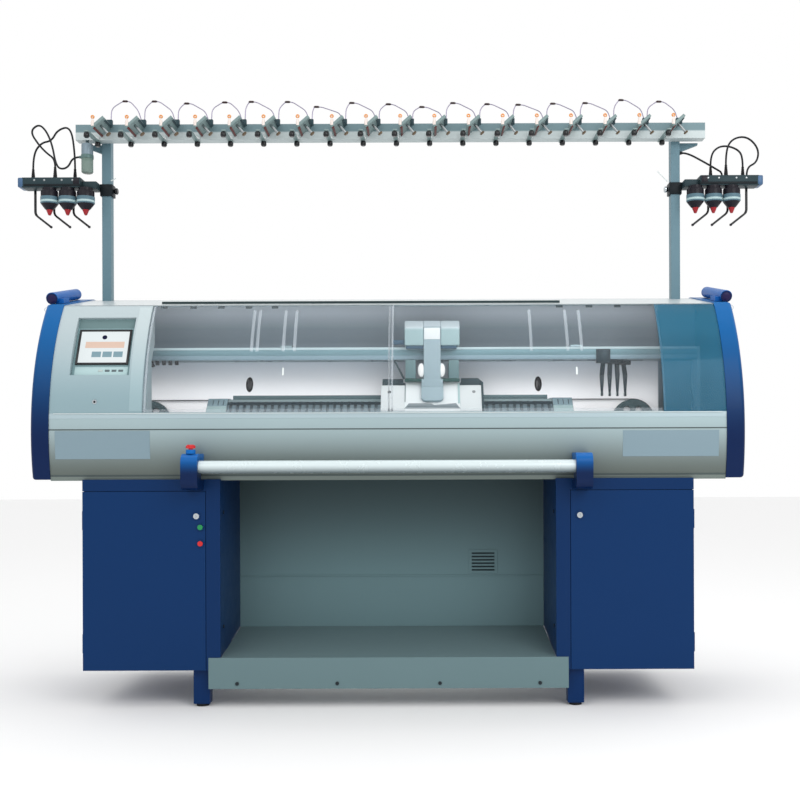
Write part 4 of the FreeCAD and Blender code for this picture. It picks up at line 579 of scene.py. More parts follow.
def curved_patch(x_span, z_span, inset, thickness, columns=2, rows=24):
    """A plate that follows the curved front, drawn in by the inset."""
    form = bmesh.new()
    (left, right), (low, high) = x_span, z_span
    grid = {}
    for face, depth in enumerate((inset, inset + thickness)):
        for row in range(rows + 1):
            z = low + (high - low) * row / rows
            for column in range(columns + 1):
                x = left + (right - left) * column / columns
                grid[face, row, column] = form.verts.new((x, cover_y(z, depth), z))
    for row in range(rows):
        for column in range(columns):
            for face in (0, 1):
                ring = [grid[face, row, column], grid[face, row, column + 1],
                        grid[face, row + 1, column + 1], grid[face, row + 1, column]]
                form.faces.new(ring if face == 0 else list(reversed(ring)))
    for row in range(rows):
        for column in (0, columns):
            form.faces.new([grid[0, row, column], grid[0, row + 1, column], grid[1, row + 1, column],
                            grid[1, row, column]])
    for column in range(columns):
        for row in (0, rows):
            form.faces.new([grid[0, row, column], grid[0, row, column + 1], grid[1, row, column + 1],
                            grid[1, row, column]])
    bmesh.ops.recalc_face_normals(form, faces=form.faces[:])
    return form


SMOOTH_BELOW = 38               # degrees; sharper edges stay crisp


class Piece:
    """Gathers the forms of one piece, each with its own finish, and then makes the object."""

    def __init__(self):
        self.mesh = bmesh.new()
        self.finishes = []

    def add(self, form, finish, turn=None):
        """Joins a form; a turn that mirrors it also turns its faces back outward."""
        if finish not in self.finishes:
            self.finishes.append(finish)
        if turn is not None:
            form.transform(turn)
            if turn.determinant() < 0:
                bmesh.ops.reverse_faces(form, faces=form.faces[:])
        for face in form.faces:
            face.material_index = self.finishes.index(finish)
        carrier = bpy.data.meshes.new("form")
        form.to_mesh(carrier)
        form.free()
        self.mesh.from_mesh(carrier)
        bpy.data.meshes.remove(carrier)
        return self

    def done(self, name, body, slot, *replaced):
        """The finished object, riding on its body, in the place of the solids that it replaces."""
        data = bpy.data.meshes.new(name)
        self.mesh.to_mesh(data)
        self.mesh.free()
        for finish in self.finishes:
            data.materials.append(FINISH[finish])
        data.polygons.foreach_set("use_smooth", [True] * len(data.polygons))
        data.set_sharp_from_angle(angle=math.radians(SMOOTH_BELOW))
        item = bpy.data.objects.new(name, data)
        bpy.context.scene.collection.objects.link(item)
        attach(item, body)
        if replaced:
            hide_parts(*replaced)
        return item


# ---------------- the frame's own solids and their finishes
KEPT_SOLIDS = {
    "cap_blue": ("left_end_cap", "right_end_cap"),
    "tube_blue": ("corner_tubes",),
    "bracket_blue": ("bar_brackets",),
    "cabinet_navy": ("left_cabinet", "right_cabinet"),
    "door_navy": ("left_cabinet_door", "right_cabinet_door"),
    "leg_navy": ("left_side_frame", "right_side_frame", "frame_beams"),
    "rubber_black": ("levelling_pads", "drive_belt"),
    "cover_grey": ("lower_front_cover",),
    "top_grey": ("top_cover",),
    "rear_grey": ("rear_cover",),
    "housing_grey": ("control_housing",),
    "tray_grey": ("fabric_tray",),
    "panel_grey": ("back_panel",),
    "inner_wall": ("inner_back_panel",),
    "dark_screw": ("panel_screws",),
    "bezel_bright": ("left_door_lock", "right_door_lock"),
    "button_green": ("power_on_button",),
    "button_red": ("power_off_button", "emergency_stop_button"),
    "window_tint": ("tinted_window",),
    "bed_steel": ("front_needle_bed", "rear_needle_bed"),
    "bed_dark": ("bed_carrier",),
    "roller_steel": ("front_takedown_roller", "rear_takedown_roller"),
    "rail_steel": ("yarn_rails",),
    "carrier_dark": ("yarn_carrier_1", "yarn_carrier_2", "yarn_carrier_3", "yarn_carrier_4"),
    "pulley_dark": ("left_drive_pulley", "right_drive_pulley"),
    "bar_pale": ("start_bar",),
    "stand_grey": ("left_yarn_post", "right_yarn_post"),
    "beam_steel": ("yarn_beam",),
}
for finish, solids in KEPT_SOLIDS.items():
    for solid in solids:
        slots = nodes[solid].data.materials
        slots.clear()
        slots.append(FINISH[finish])

# ---------------- sliding hoods
HOOD_FLOOR, HOOD_TOP = 1.1243, 1.552
HOOD_EDGE = 0.007                       # width of the strip along each upright edge
# half width and foot of the faint pale lines on a hood, which are painted reflections
GLINT_HALF, GLINT_FOOT = 0.006, 1.36
DROP_HALF = 0.0035
PULL_HEIGHT, PULL_HALF_WIDE, PULL_HALF_TALL, PULL_STEPS = 1.229, 0.014, 0.030, 40
# each ring of the finger pull as a share of the oval and its place behind the sheet's face
PULL_RINGS = ((1.0, 0.0008), (0.95, -0.0016), (0.80, -0.0016), (0.62, 0.0022), (0.0, 0.0026))


def finger_pull():
    """A shallow oval dish with a raised rim, closed by a point at its middle."""
    dish = bmesh.new()
    angles = [2 * math.pi * step / PULL_STEPS for step in range(PULL_STEPS)]
    oval = [(PULL_HALF_WIDE * math.cos(angle), PULL_HALF_TALL * math.sin(angle)) for angle in angles]
    rims = []
    for share, sink in PULL_RINGS:
        points = oval if share else [(0, 0)]
        rims.append([dish.verts.new((u * share, sink, v * share)) for u, v in points])
    for outer, inner in zip(rims, rims[1:]):
        for step in range(PULL_STEPS):
            after = (step + 1) % PULL_STEPS
            corners = [outer[step], outer[after], inner[after % len(inner)], inner[step % len(inner)]]
            dish.faces.new(list(dict.fromkeys(corners)))
    bmesh.ops.recalc_face_normals(dish, faces=dish.faces[:])
    return dish


def sliding_hood(word, inset, span, pull_at, glint_lines):
    """A bent clear sheet with edge strips, faint pale lines that are painted reflections, and an oval finger
    pull.
    """
    hood = Piece()
    hood.add(curved_patch(span, (HOOD_FLOOR, HOOD_TOP), inset, 0.003, 16, 40), "hood_clear")
    for at in (span[0], span[1] - HOOD_EDGE):
        hood.add(curved_patch((at, at + HOOD_EDGE), (HOOD_FLOOR, HOOD_TOP), inset - 0.0002, 0.0034, 1, 40),
                 "hood_rim_and_glint")
    # pale lines across the sheet, painted reflections
    for at in glint_lines:
        hood.add(curved_patch((at - GLINT_HALF, at + GLINT_HALF), (GLINT_FOOT, HOOD_TOP - 0.02), inset - 0.0006,
                              0.0008, 1, 20), "hood_rim_and_glint")
    seat = Vector((pull_at, cover_y(PULL_HEIGHT, inset), PULL_HEIGHT))
    lean = math.asin((PULL_HEIGHT - ARC_HEIGHT) / ARC_RADIUS)
    hood.add(finger_pull(), "black_gloss", Matrix.Translation(seat) @ Matrix.Rotation(-lean, 4, "X"))
    return hood.done(f"{word}_hood_sheet", f"{word}_hood", "clear_sheet", f"{word}_sliding_hood")


def hood_drop(word, inset, at):
    """A small white mark stuck on a hood, that shows where it stands."""
    drop = Piece()
    drop.add(curved_patch((at - DROP_HALF, at + DROP_HALF), (1.264, 1.294), inset - 0.0013, 0.0013, 2, 6),
             "ceramic_pale")
    return drop.done(f"{word}_hood_drop", f"{word}_hood", "light_grey_paint")


for word, inset, span, pull_at, glint_lines, drop_at in (
        ("left", 0.003, (-0.930, 0.020), -0.528, (-0.528, -0.506, -0.405, -0.362), -0.402),
        ("right", 0.010, (0.000, 1.060), 0.575, (0.554, 0.695, 0.749), 0.725)):
    sliding_hood(word, inset, span, pull_at, glint_lines)
    hood_drop(word, inset, drop_at)

# ---------------- carriage: two boxes, bridge and its tongue
CARRIAGE_LEFT, CARRIAGE_RIGHT = -0.034, 0.376
SHELL_END, SHELL_START = 0.0612, 0.2808         # where the end shells stop beside the middle
CARRIAGE_TOP = 1.251
SLOPE_FOOT, SLOPE_HEAD = (156, 1.1363), (236, CARRIAGE_TOP)      # depth in mm, height in m
SLOPE_LEAN = math.degrees(math.atan2((SLOPE_HEAD[0] - SLOPE_FOOT[0]) / 1000, SLOPE_HEAD[1] - SLOPE_FOOT[1]))
SLOPE_FRAME = Matrix.Translation((0, deep(SLOPE_FOOT[0]), SLOPE_FOOT[1])) \
    @ Matrix.Rotation(math.radians(-SLOPE_LEAN), 4, "X")
SCREW_HEAD = [(0, -0.0012), (0.0052, -0.0012), (0.0068, -0.0004), (0.0068, 0.002), (0, 0.002)]


def cam_box_outline(side, recess=0.0, top=CARRIAGE_TOP):
    """Cross-section of a cam box as (Y, Z); its sloping face may be sunk by the recess, in mm."""
    low, high = recess * 0.82, recess * 1.22 + (top - CARRIAGE_TOP) * 697
    shape = [(284, 1.1808), (190, 1.0868), (190, 1.0743), (156, 1.0743), SLOPE_FOOT, (166.7, 1.1516)]
    if recess:
        shape.append((166.7 + low, 1.1516 - recess * 0.00057))
    shape += [(SLOPE_HEAD[0] + high, top), (284, top)]
    return [(deep(depth if side < 0 else 600 - depth), height) for depth, height in shape]


def upright_strip(left, right, low):
    """A narrow upright strip on the slope, as (X, Z) corners."""
    return [(left, low), (right, low), (right, 1.2480), (left, 1.2480)]


def front_cam_box():
    """White front box: end shells, a sunken middle with its grip slot, screws and a dark rear plate."""
    box = Piece()
    left, right = CARRIAGE_LEFT, CARRIAGE_RIGHT
    for start, end in ((left, SHELL_END), (SHELL_START, right - 0.009)):
        box.add(outline_form(cam_box_outline(-1, top=1.238), (start, end), "x", 0.0025), "carriage_white")
    box.add(outline_form(cam_box_outline(-1, 3.0), (0.0610, 0.2810), "x"), "bright_white_and_highlight")
    # the dark plate at the right end is painted shade on the box's side
    box.add(outline_form(cam_box_outline(-1), (right - 0.0088, right), "x", 0.001), "unit_dark")
    on_slope = SLOPE_FRAME @ Matrix.Diagonal((1, 1, 1 / math.cos(math.radians(SLOPE_LEAN)), 1))
    grip_slot = [(0.0595, 1.1410), (0.2820, 1.1410), (0.2650, 1.1630), (0.1780, 1.1560), (0.1650, 1.1630),
                 (0.0780, 1.1630)]
    slot_shade = [(0.0700, 1.1490), (0.2730, 1.1490), (0.2700, 1.1525), (0.0740, 1.1525)]
    for outline, inward, finish in (
            (grip_slot, (-0.0006, 0.0030), "grip_grey"),
            (slot_shade, (-0.0010, 0.0010), "grip_shade"),
            (upright_strip(0.2730, 0.2810, 1.1640), (0.0012, 0.0030), "strip_teal"),
            (upright_strip(SHELL_END, 0.0640, 1.1700), (0.0012, 0.0030), "grip_shade")):
        flat = [(x, z - SLOPE_FOOT[1]) for x, z in outline]
        box.add(outline_form(flat, inward, "y", 0.0004), finish, on_slope)
    for at, finish in ((-0.0006, "dark_screw"), (0.337, "screw_steel")):
        box.add(turned(SCREW_HEAD, ORIGIN, "y", 24), finish,
                SLOPE_FRAME @ Matrix.Translation((at, 0, (1.210 - SLOPE_FOOT[1]) / 0.82)))
    rear_plate = [(left, 1.182), (right, 1.182), (right, 1.254), (right - 0.018, 1.270), (0.288, 1.270),
                  (0.288, 1.2515), (0.054, 1.2515), (0.054, 1.267), (left + 0.004, 1.267)]
    box.add(outline_form(rear_plate, (deep(277), deep(283.6)), "y", 0.0006), "unit_dark")
    return box.done("front_cam_box", "carriage", "white_plastic", "carriage_front_box")


def rear_cam_box():
    """The rear box, three plain shells side by side with a screw on each end."""
    box = Piece()
    for start, end in ((CARRIAGE_LEFT, SHELL_END), (0.0616, 0.2804), (SHELL_START, CARRIAGE_RIGHT)):
        box.add(outline_form(cam_box_outline(1), (start, end), "x", 0.0025), "carriage_white")
    for at in (CARRIAGE_LEFT + 0.033, CARRIAGE_RIGHT - 0.033):
        on_back = Matrix.Translation((at, deep(600 - 200), 1.1994)) \
            @ Matrix.Rotation(math.radians(180 + SLOPE_LEAN), 4, "X")
        box.add(turned(SCREW_HEAD, ORIGIN, "y", 24), "screw_steel", on_back)
    return box.done("rear_cam_box", "carriage", "white_plastic", "carriage_rear_box")


BRIDGE_LOW, BRIDGE_TOP = 1.406, 1.498
BRIDGE_CREST = [(395, BRIDGE_TOP - 0.030), (365, BRIDGE_TOP), (235, BRIDGE_TOP), (205, BRIDGE_TOP - 0.030)]
ARCH_LEFT, ARCH_RIGHT = 0.137, 0.205
HEAD_LEFT, HEAD_RIGHT, HEAD_FOOT = 0.061, 0.281, 1.396
FOOT_BAR_TOP = CARRIAGE_TOP + 0.013
TONGUE_HALF, TONGUE_LONG, TONGUE_ARC = 0.044, 0.1024, 0.020
KNOB_SIZE = Matrix.Diagonal((0.0145, 0.009, 0.028, 1))
BALL_STEPS = 16
BALL = [(math.sin(math.pi * step / BALL_STEPS), -math.cos(math.pi * step / BALL_STEPS))
        for step in range(BALL_STEPS + 1)]


def across_depth(points):
    """(depth in mm, height) points as the (Y, Z) points of a cross-section."""
    return [(deep(depth), height) for depth, height in points]


def tongue_outline():
    """The flat tongue's rim: square at its top, with two round lower corners."""
    low = TONGUE_ARC - TONGUE_LONG
    rim = [(TONGUE_HALF, 0), (-TONGUE_HALF, 0)]
    for x, z, start in ((-TONGUE_HALF + TONGUE_ARC, low, 180), (TONGUE_HALF - TONGUE_ARC, low, 270)):
        for turn in range(0, 91, 15):
            angle = math.radians(start + turn)
            rim.append((x + TONGUE_ARC * math.cos(angle), z + TONGUE_ARC * math.sin(angle)))
    return rim


def carriage_arch():
    """The bridge over the rails: arm, head with its dark lower lip, uprights, tongue and two white knobs."""
    bridge = Piece()
    legs = [(205, 1.230), (220.5, 1.230), (235, 1.2512), (240, 1.2512), (240, BRIDGE_LOW), (360, BRIDGE_LOW),
            (360, CARRIAGE_TOP), (395, CARRIAGE_TOP)]
    bridge.add(outline_form(across_depth(legs + BRIDGE_CREST), (ARCH_LEFT, ARCH_RIGHT), "x", 0.003, 3),
               "arm_pale")
    skirt = [(205, HEAD_FOOT), (240, HEAD_FOOT), (240, BRIDGE_LOW), (360, BRIDGE_LOW), (360, HEAD_FOOT),
             (395, HEAD_FOOT)]
    for start, end in ((HEAD_LEFT, ARCH_LEFT - 0.0008), (ARCH_RIGHT + 0.0008, HEAD_RIGHT)):
        bridge.add(outline_form(across_depth(skirt + BRIDGE_CREST), (start, end), "x", 0.004, 3),
                   "head_pale")
        lip_start, lip_end = max(start, HEAD_LEFT + 0.005), min(end, HEAD_RIGHT - 0.012)
        for near, far in ((213, 240), (360, 387)):
            bridge.add(block((lip_start, deep(near), 1.3835), (lip_end, deep(far), 1.3975), 0.001),
                       "lip_slate")
    # a bright plate on the arm's top is a painted highlight
    bridge.add(block((0.139, deep(203.9), 1.420), (0.203, deep(206.5), 1.466), 0.0022), "bright_white_and_highlight")
    for near, far in ((209, 240), (360, 391)):
        for start, end in ((0.064, 0.105), (0.237, 0.278)):
            bridge.add(block((start, deep(near), FOOT_BAR_TOP), (end, deep(far), 1.338), 0.002),
                       "upright_teal")
        bridge.add(block((HEAD_LEFT, deep(near), CARRIAGE_TOP + 0.0004),
                         (HEAD_RIGHT, deep(far), FOOT_BAR_TOP), 0.002), "bar_green")
    for at in (0.1275, 0.2090):
        bridge.add(turned(BALL, ORIGIN, "z", 24), "knob_white",
                   Matrix.Translation((at, deep(214), 1.297)) @ KNOB_SIZE)
    bridge.add(tube([(0.020, deep(240), 1.338), (0.058, deep(240), 1.264)], 0.004, 12), "unit_dark")
    bridge.add(block((0.012, deep(232), 1.4025), (HEAD_LEFT + 0.002, deep(247), 1.421), 0.001), "lip_slate")
    lean = Matrix.Translation((0.171, deep(235.6), CARRIAGE_TOP)) \
        @ Matrix.Rotation(math.radians(-SLOPE_LEAN), 4, "X")
    bridge.add(outline_form(tongue_outline(), (-0.012, 0), "y", 0.0015), "arm_pale", lean)
    gusset = [(205.3, CARRIAGE_TOP + 0.010), (228, CARRIAGE_TOP + 0.010), (235, CARRIAGE_TOP), (217, 1.2260),
              (205.3, 1.2250)]
    bridge.add(outline_form(across_depth(gusset), (0.1285, 0.2135), "x", 0.0004), "arm_pale")
    return bridge.done("carriage_arch", "carriage", "white_plastic", "carriage_bridge")


front_cam_box()
rear_cam_box()
carriage_arch()

# ---------------- needles, verge combs and bed strips
BED_HALF = 0.658
SLOT_COUNT, SLOT_PITCH, NEEDLE_SHIFT, NEEDLE_HALF = 47, 0.028, 0.0036, 0.0007
BED_DROP = 0.099                        # from the ridge down to the foot of the slope
BED_LONG = BED_DROP * math.sqrt(2)      # the same along the slope
END_INNER, END_OUTER = 0.6602, 0.7402   # the plates at the beds' ends


def bed_frame(side):
    """Frame of a bed's slope: x along the bed, y square into it, z up the slope from its foot."""
    flip = Matrix.Identity(4) if side < 0 else Matrix.Scale(-1, 4, (0, 1, 0))
    return Matrix.Translation((0, THROAT, 0)) @ flip @ Matrix.Translation((0, -0.103, RIDGE - BED_DROP)) \
        @ Matrix.Rotation(math.radians(-45), 4, "X")


def bed_dressing(word, side):
    """What lies on one bed: the comb at its ridge, two strips across the slope, needles and end plates."""
    dressing = Piece()
    lean = bed_frame(side)

    def lay(x, out, down, inward, finish, round_by):
        """A flat bar on the slope, given by how far it stands out and how far it lies below the ridge."""
        dressing.add(block((x[0], -out, BED_LONG - down[1]), (x[1], inward, BED_LONG - down[0]), round_by),
                     finish, lean)

    lay((-BED_HALF, BED_HALF), 0.0009, (0.0065, 0.0190), 0.0006, "strip_pale", 0.0002)
    lay((-BED_HALF, BED_HALF), 0.0010, (0.0220, 0.0385), 0.0006, "strip_dark", 0.0002)
    near, far = sorted((THROAT + side * 0.0086, THROAT + side * 0.0064))
    dressing.add(block((-0.640, near, RIDGE - 0.006), (0.640, far, RIDGE + 0.0125), 0.0004), "comb_teal")
    first = -(SLOT_COUNT - 1) * SLOT_PITCH / 2
    for slot in range(SLOT_COUNT):
        for shift in (-NEEDLE_SHIFT, 0.0, NEEDLE_SHIFT):
            at = first + slot * SLOT_PITCH + shift
            width = (at - NEEDLE_HALF, at + NEEDLE_HALF)
            lay(width, -0.0005, (0.004, BED_LONG - 0.004), 0.0045, "needle_steel", 0.0)
            lay(width, 0.0016, (0.080, 0.086), 0.0010, "needle_steel", 0.0)
    for end in (-1, 1):
        span = sorted((end * END_INNER, end * END_OUTER))
        lay(span, 0.0012, (0.0, 0.045), 0.0004, "end_slate", 0.0006)
        lay(span, 0.0016, (0.0455, BED_LONG - 0.022), 0.0004, "end_pale", 0.0006)
        for groove in range(3):
            at = span[0] + 0.020 + groove * 0.021
            lay((at, at + 0.004), 0.0017, (0.010, 0.040), 0.0002, "end_dark", 0.0003)
    return dressing.done(f"{word}_bed_dressing", "machine", "steel")


for word, side in (("front", -1), ("rear", 1)):
    bed_dressing(word, side)

# ---------------- yarn rails and the carriers that ride on them
RAIL_LOW, RAIL_TOP, RAIL_HALF = 1.343, 1.393, 1.241
RAIL_PITCH, FINGER_PITCH = 28, 7.5      # mm from rail to rail, and from finger to finger
CARRIER_FIRST, CARRIER_PITCH = 0.862, 0.033
STOP_FIRST, STOP_PITCH = -0.939, 0.026
SHANK_HALF, CRANK_FOOT, FINGER_TIP = 0.0095, 1.282, 1.214
# lower edge, upper edge, how far each band stands out, and its finish; the bright top band is a painted
# highlight
RAIL_BANDS = ((1.3840, RAIL_TOP + 0.0004, 0.0009, "bright_lip_highlight"), (1.3605, 1.3836, 0.0003, "channel_teal"),
              (RAIL_LOW, 1.3602, 0.0003, "channel_pale"))
# the two pale prongs at a finger's tip: distance from its middle, height
PRONG = ((0.0035, 1.2150), (0.0075, 1.2080), (0.0060, 1.1975), (0.0038, 1.1985))


def rail_dressing():
    """A bright lip, which is a painted highlight, and two shaded channels along the outer rails, and the row
    of black stops.
    """
    rails = Piece()
    for side, depth in ((-1, 254), (1, 346)):
        for low, high, proud, finish in RAIL_BANDS:
            near, far = sorted((deep(depth) + side * proud, deep(depth) - side * 0.0004))
            rails.add(block((-RAIL_HALF, near, low), (RAIL_HALF, far, high), 0.0003), finish)
    for index in range(4):
        at = STOP_FIRST + index * STOP_PITCH
        rails.add(block((at - 0.007, deep(250.5), 1.3245), (at + 0.007, deep(265.5), 1.3425), 0.002),
                  "black_plastic")
    hook = [(-0.975, 1.3425), (-0.958, 1.3425), (-0.949, 1.320), (-0.957, 1.316), (-0.966, 1.318)]
    rails.add(outline_form(hook, (deep(252), deep(262)), "y", 0.001), "black_plastic")
    return rails.done("rail_strips", "machine", "steel")


def carrier_tip(index):
    """Below a carrier's saddle: a crank to the middle, a tapering finger, two prongs and a side plate."""
    at = CARRIER_FIRST + CARRIER_PITCH * index
    rail, plane = deep(300 + (index - 1.5) * RAIL_PITCH), deep(300 + (index - 1.5) * FINGER_PITCH)
    tip = Piece()
    finger = [(at - SHANK_HALF, CRANK_FOOT), (at + SHANK_HALF, CRANK_FOOT), (at + 0.0047, FINGER_TIP),
              (at - 0.0047, FINGER_TIP)]
    tip.add(outline_form(finger, (plane - 0.0021, plane + 0.0021), "y", 0.0006), "carrier_dark")
    crank = [(rail - 0.0021, 1.3275), (rail + 0.0021, 1.3275), (plane + 0.0021, CRANK_FOOT),
             (plane - 0.0021, CRANK_FOOT)]
    tip.add(outline_form(crank, (at - SHANK_HALF, at + SHANK_HALF), "x", 0.0006), "carrier_dark")
    for side in (-1, 1):
        prong = [(at + side * out, height) for out, height in PRONG]
        tip.add(outline_form(prong, (plane - 0.0020, plane + 0.0020), "y", 0.0003), "ceramic_pale")
    tip.add(block((at - 0.022, rail - 0.0098, 1.332), (at + 0.022, rail - 0.0092, 1.378), 0.0002),
            "strip_dark")
    return tip.done(f"carrier_tip_{index + 1}", f"carrier_{index + 1}", "black_plastic")


rail_dressing()
for index in range(4):
    carrier_tip(index)

# ---------------- bare plates of the lower cover, painted shade in its folds and a painted highlight along its top lip
cover_lines = Piece()
for x_span, z_span in (((-1.265, -0.904), (0.946, 1.053)), ((0.893, 1.258), (0.950, 1.049))):
    cover_lines.add(curved_patch(x_span, z_span, -0.0006, 0.0010, 6, 14), "plate_bare")
# the fold strips are painted shade; the pale band along the top lip is a painted highlight
for z_span, finish in (((1.0556, 1.0600), "fold_shade"), ((1.0995, 1.1195), "cover_top_highlight"),
                       ((0.8795, 0.8860), "fold_shade"), ((0.8635, 0.8792), "cover_foot")):
    cover_lines.add(curved_patch((-COVER_HALF, COVER_HALF), z_span, -0.0004, 0.0009, 12, 6), finish)
cover_lines.add(curved_patch((-0.9845, -0.9365), (1.128, 1.546), -0.0004, 0.0008, 2, 24), "housing_rim")
cover_lines.done("cover_plates", "machine", "light_grey_paint")

# ---------------- top edge: clips, tube ends, wire hooks, strip
TOP_LEAN = 11.7                         # degrees
TOP_SLOPE = math.tan(math.radians(TOP_LEAN))
CLIPS = (-0.895, -0.779, -0.668, -0.558, -0.454, 0.678, 0.796, 0.909)
CLIP_HALF, CLIP_LOW = 0.013, BROW - 0.0130
TUBE_AT, TUBE_START = 1.346, 203.4      # the corner tubes' middle across, and the depth of their front ends
END_DISC = [(0, -0.0016), (0.0150, -0.0016), (0.0166, -0.0006), (0.0166, 0.0004), (0, 0.0004)]
END_RING = [(0.0166, -0.0010), (0.0212, -0.0010), (0.0226, 0.0002), (0.0226, 0.0006), (0.0166, 0.0006),
            (0.0166, -0.0010)]


def top_z(depth):
    """Height of the sloping top at a depth in mm."""
    return BROW + (depth - 180.4) / 1000 * TOP_SLOPE


def wire_hook(side):
    """The round line of the wire hook under a corner tube."""
    angles = [step * math.pi / 9 for step in range(19)]
    return [(side * 1.362 + 0.008 * math.cos(angle), deep(190), 1.541 + 0.009 * math.sin(angle))
            for angle in angles]


top_lines = Piece()
for at in CLIPS:
    top_lines.add(curved_patch((at - CLIP_HALF, at + CLIP_HALF), (CLIP_LOW, CLIP_LOW + 0.010), 0.0160,
                               0.002, 2, 2), "unit_dark")
for side in (-1, 1):
    tube_end = Matrix.Translation((side * TUBE_AT, deep(TUBE_START), top_z(TUBE_START) + 0.0255)) \
        @ Matrix.Rotation(math.radians(TOP_LEAN), 4, "X")
    top_lines.add(turned(END_DISC, ORIGIN, "y", 36), "disc_plum", tube_end)
    top_lines.add(turned(END_RING, ORIGIN, "y", 36), "cap_shade", tube_end)
    top_lines.add(tube(wire_hook(side), 0.0014, 8), "ceramic_pale")
# a thin pale line along the lower cover's top edge, a painted highlight
top_lines.add(tube([(-1.271, deep(-0.6), 1.1185), (1.271, deep(-0.6), 1.1185)], 0.0012, 8), "ceramic_pale")
top_lines.done("top_edge_lines", "machine", "light_grey_paint")

strip = Piece()
strip_foot = top_z(240.4)
strip.add(block((-0.9155, deep(239.9), strip_foot + 0.0005), (0.6855, deep(248.9), strip_foot + 0.0106),
                0.001), "rail_shade")
strip.done("top_strip_cap", "machine", "dark_steel")

# ---------------- hood tracks and the vent's backing
TRACK_LEFT, TRACK_RIGHT = -0.935, 1.0495
tracks = Piece()
sill = (cover_y(WAIST) - FRONT) * 1000 + 3
# the sill's pale colour is a painted highlight along the cover's top edge
tracks.add(block((TRACK_LEFT, deep(sill), WAIST), (TRACK_RIGHT, deep(sill + 20), WAIST + 0.002), 0.0005),
           "cover_top_highlight")
tracks.add(curved_patch((TRACK_LEFT, TRACK_RIGHT), (WAIST + 0.0010, WAIST + 0.0140), 0.007, 0.002, 12, 4),
           "track_clear")
# a pale strip along the top's front edge, its colour a painted highlight
header = [(184.4, 1.5531), (207.4, 1.5531), (207.4, 1.5560), (186.0, 1.5545)]
tracks.add(outline_form(across_depth(header), (TRACK_LEFT, TRACK_RIGHT), "x"), "bright_lip_highlight")
tracks.done("hood_track_strips", "machine", "steel", "hood_tracks")
vent = Piece()
vent.add(block((0.318, deep(434), 0.455), (0.450, deep(437), 0.567), 0.001), "vent_shade")
vent.done("vent_backing", "machine", "grey_paint")

# ---------------- touch screen in its sunken panel
SCREEN_FOOT, SCREEN_TILT = 1.268, 24.8
SCREEN_LEFT, SCREEN_RIGHT, SCREEN_TALL = -1.2177, -0.9913, 0.2577
DISPLAY = (-1.207, -1.002, 0.050, 0.207)        # left, right, foot and top of the black display frame
DISPLAY_RIM = 0.009
KEY_PITCH, KEY_WIDE = 0.026, 0.018
SCREEN_FRAME = Matrix.Translation((0, cover_y(SCREEN_FOOT), SCREEN_FOOT)) \
    @ Matrix.Rotation(math.radians(-SCREEN_TILT), 4, "X")
PANEL_LOCK = (-1.116, deep(6), 1.164)
LOCK_RING = [(0.0045, 0.0004), (0.0084, 0), (0.0089, 0.0008), (0.0089, 0.024), (0.0045, 0.024),
             (0.0045, 0.0004)]
LOCK_CORE = [(0, 0.0012), (0.0045, 0.0012), (0.0045, 0.02), (0, 0.02)]


def touch_screen():
    """Panel, framed display with its plain picture, a row of keys and the panel lock below."""
    left, right, foot, top = DISPLAY
    inner_left, inner_right = left + DISPLAY_RIM, right - DISPLAY_RIM
    screen = Piece()

    def lay(x, along, inward, finish, round_by=0.0004):
        """A flat field on the tilted panel."""
        screen.add(block((x[0], inward[0], along[0]), (x[1], inward[1], along[1]), round_by), finish,
                   SCREEN_FRAME)

    lay((SCREEN_LEFT, SCREEN_RIGHT), (0.0003, SCREEN_TALL), (0.0121, 0.020), "panel_sage", 0.001)
    lay((SCREEN_LEFT + 0.004, SCREEN_RIGHT - 0.004), (0.216, SCREEN_TALL - 0.004), (0.0117, 0.0125),
        "panel_shade")
    for x, along in (((left, inner_left), (foot, top)), ((inner_right, right), (foot, top)),
                     ((inner_left, inner_right), (foot, foot + DISPLAY_RIM)),
                     ((inner_left, inner_right), (top - DISPLAY_RIM, top))):
        lay(x, along, (0.006, 0.0121), "black_gloss", 0.0012)
    lay((inner_left, inner_right), (foot + DISPLAY_RIM, top - DISPLAY_RIM), (0.0072, 0.010), "screen_lit")
    lay((left + 0.030, right - 0.024), (0.124, 0.152), (0.0069, 0.0073), "screen_peach")
    for start, end in ((-1.148, -1.112), (-1.106, -1.070), (-1.064, -1.028)):
        lay((start, end), (0.083, 0.108), (0.0069, 0.0073), "screen_slate")
    screen.add(turned([(0, 0), (0.0095, 0), (0.0095, 0.0004), (0, 0.0004)], (-1.106, 0, 0), "y"),
               "screen_navy", SCREEN_FRAME @ Matrix.Translation((0, 0.0069, 0.172)))
    lay((SCREEN_LEFT + 0.012, right), (0.004, 0.042), (0.0116, 0.0125), "key_strip", 0.002)
    for index, finish in enumerate(("key_pale", "key_dark", "key_dark", "key_dark")):
        start = SCREEN_RIGHT - 0.0457 - KEY_PITCH * (3 - index)
        lay((start, start + KEY_WIDE), (0.0205, 0.0295), (0.0101, 0.012), finish, 0.0015)
    screen.add(turned(LOCK_RING, PANEL_LOCK, "y"), "bezel_bright")
    screen.add(turned(LOCK_CORE, PANEL_LOCK, "y"), "black_plastic")
    return screen.done("screen_panel", "machine", "black_plastic", "touch_screen")


touch_screen()

# ---------------- yarn stand: units, wires and lamp
UNIT_FIRST, UNIT_PITCH, UNIT_COUNT = -1.215, 0.1399, 18
UNIT_FRONT = deep(308)
BEAM_FLOOR, BEAM_TOP = 2.288, 2.353
WIRE_DEPTH = deep(400)
LUG_TOP, WIRE_FOOT = BEAM_TOP + 0.0088, BEAM_TOP + 0.0093
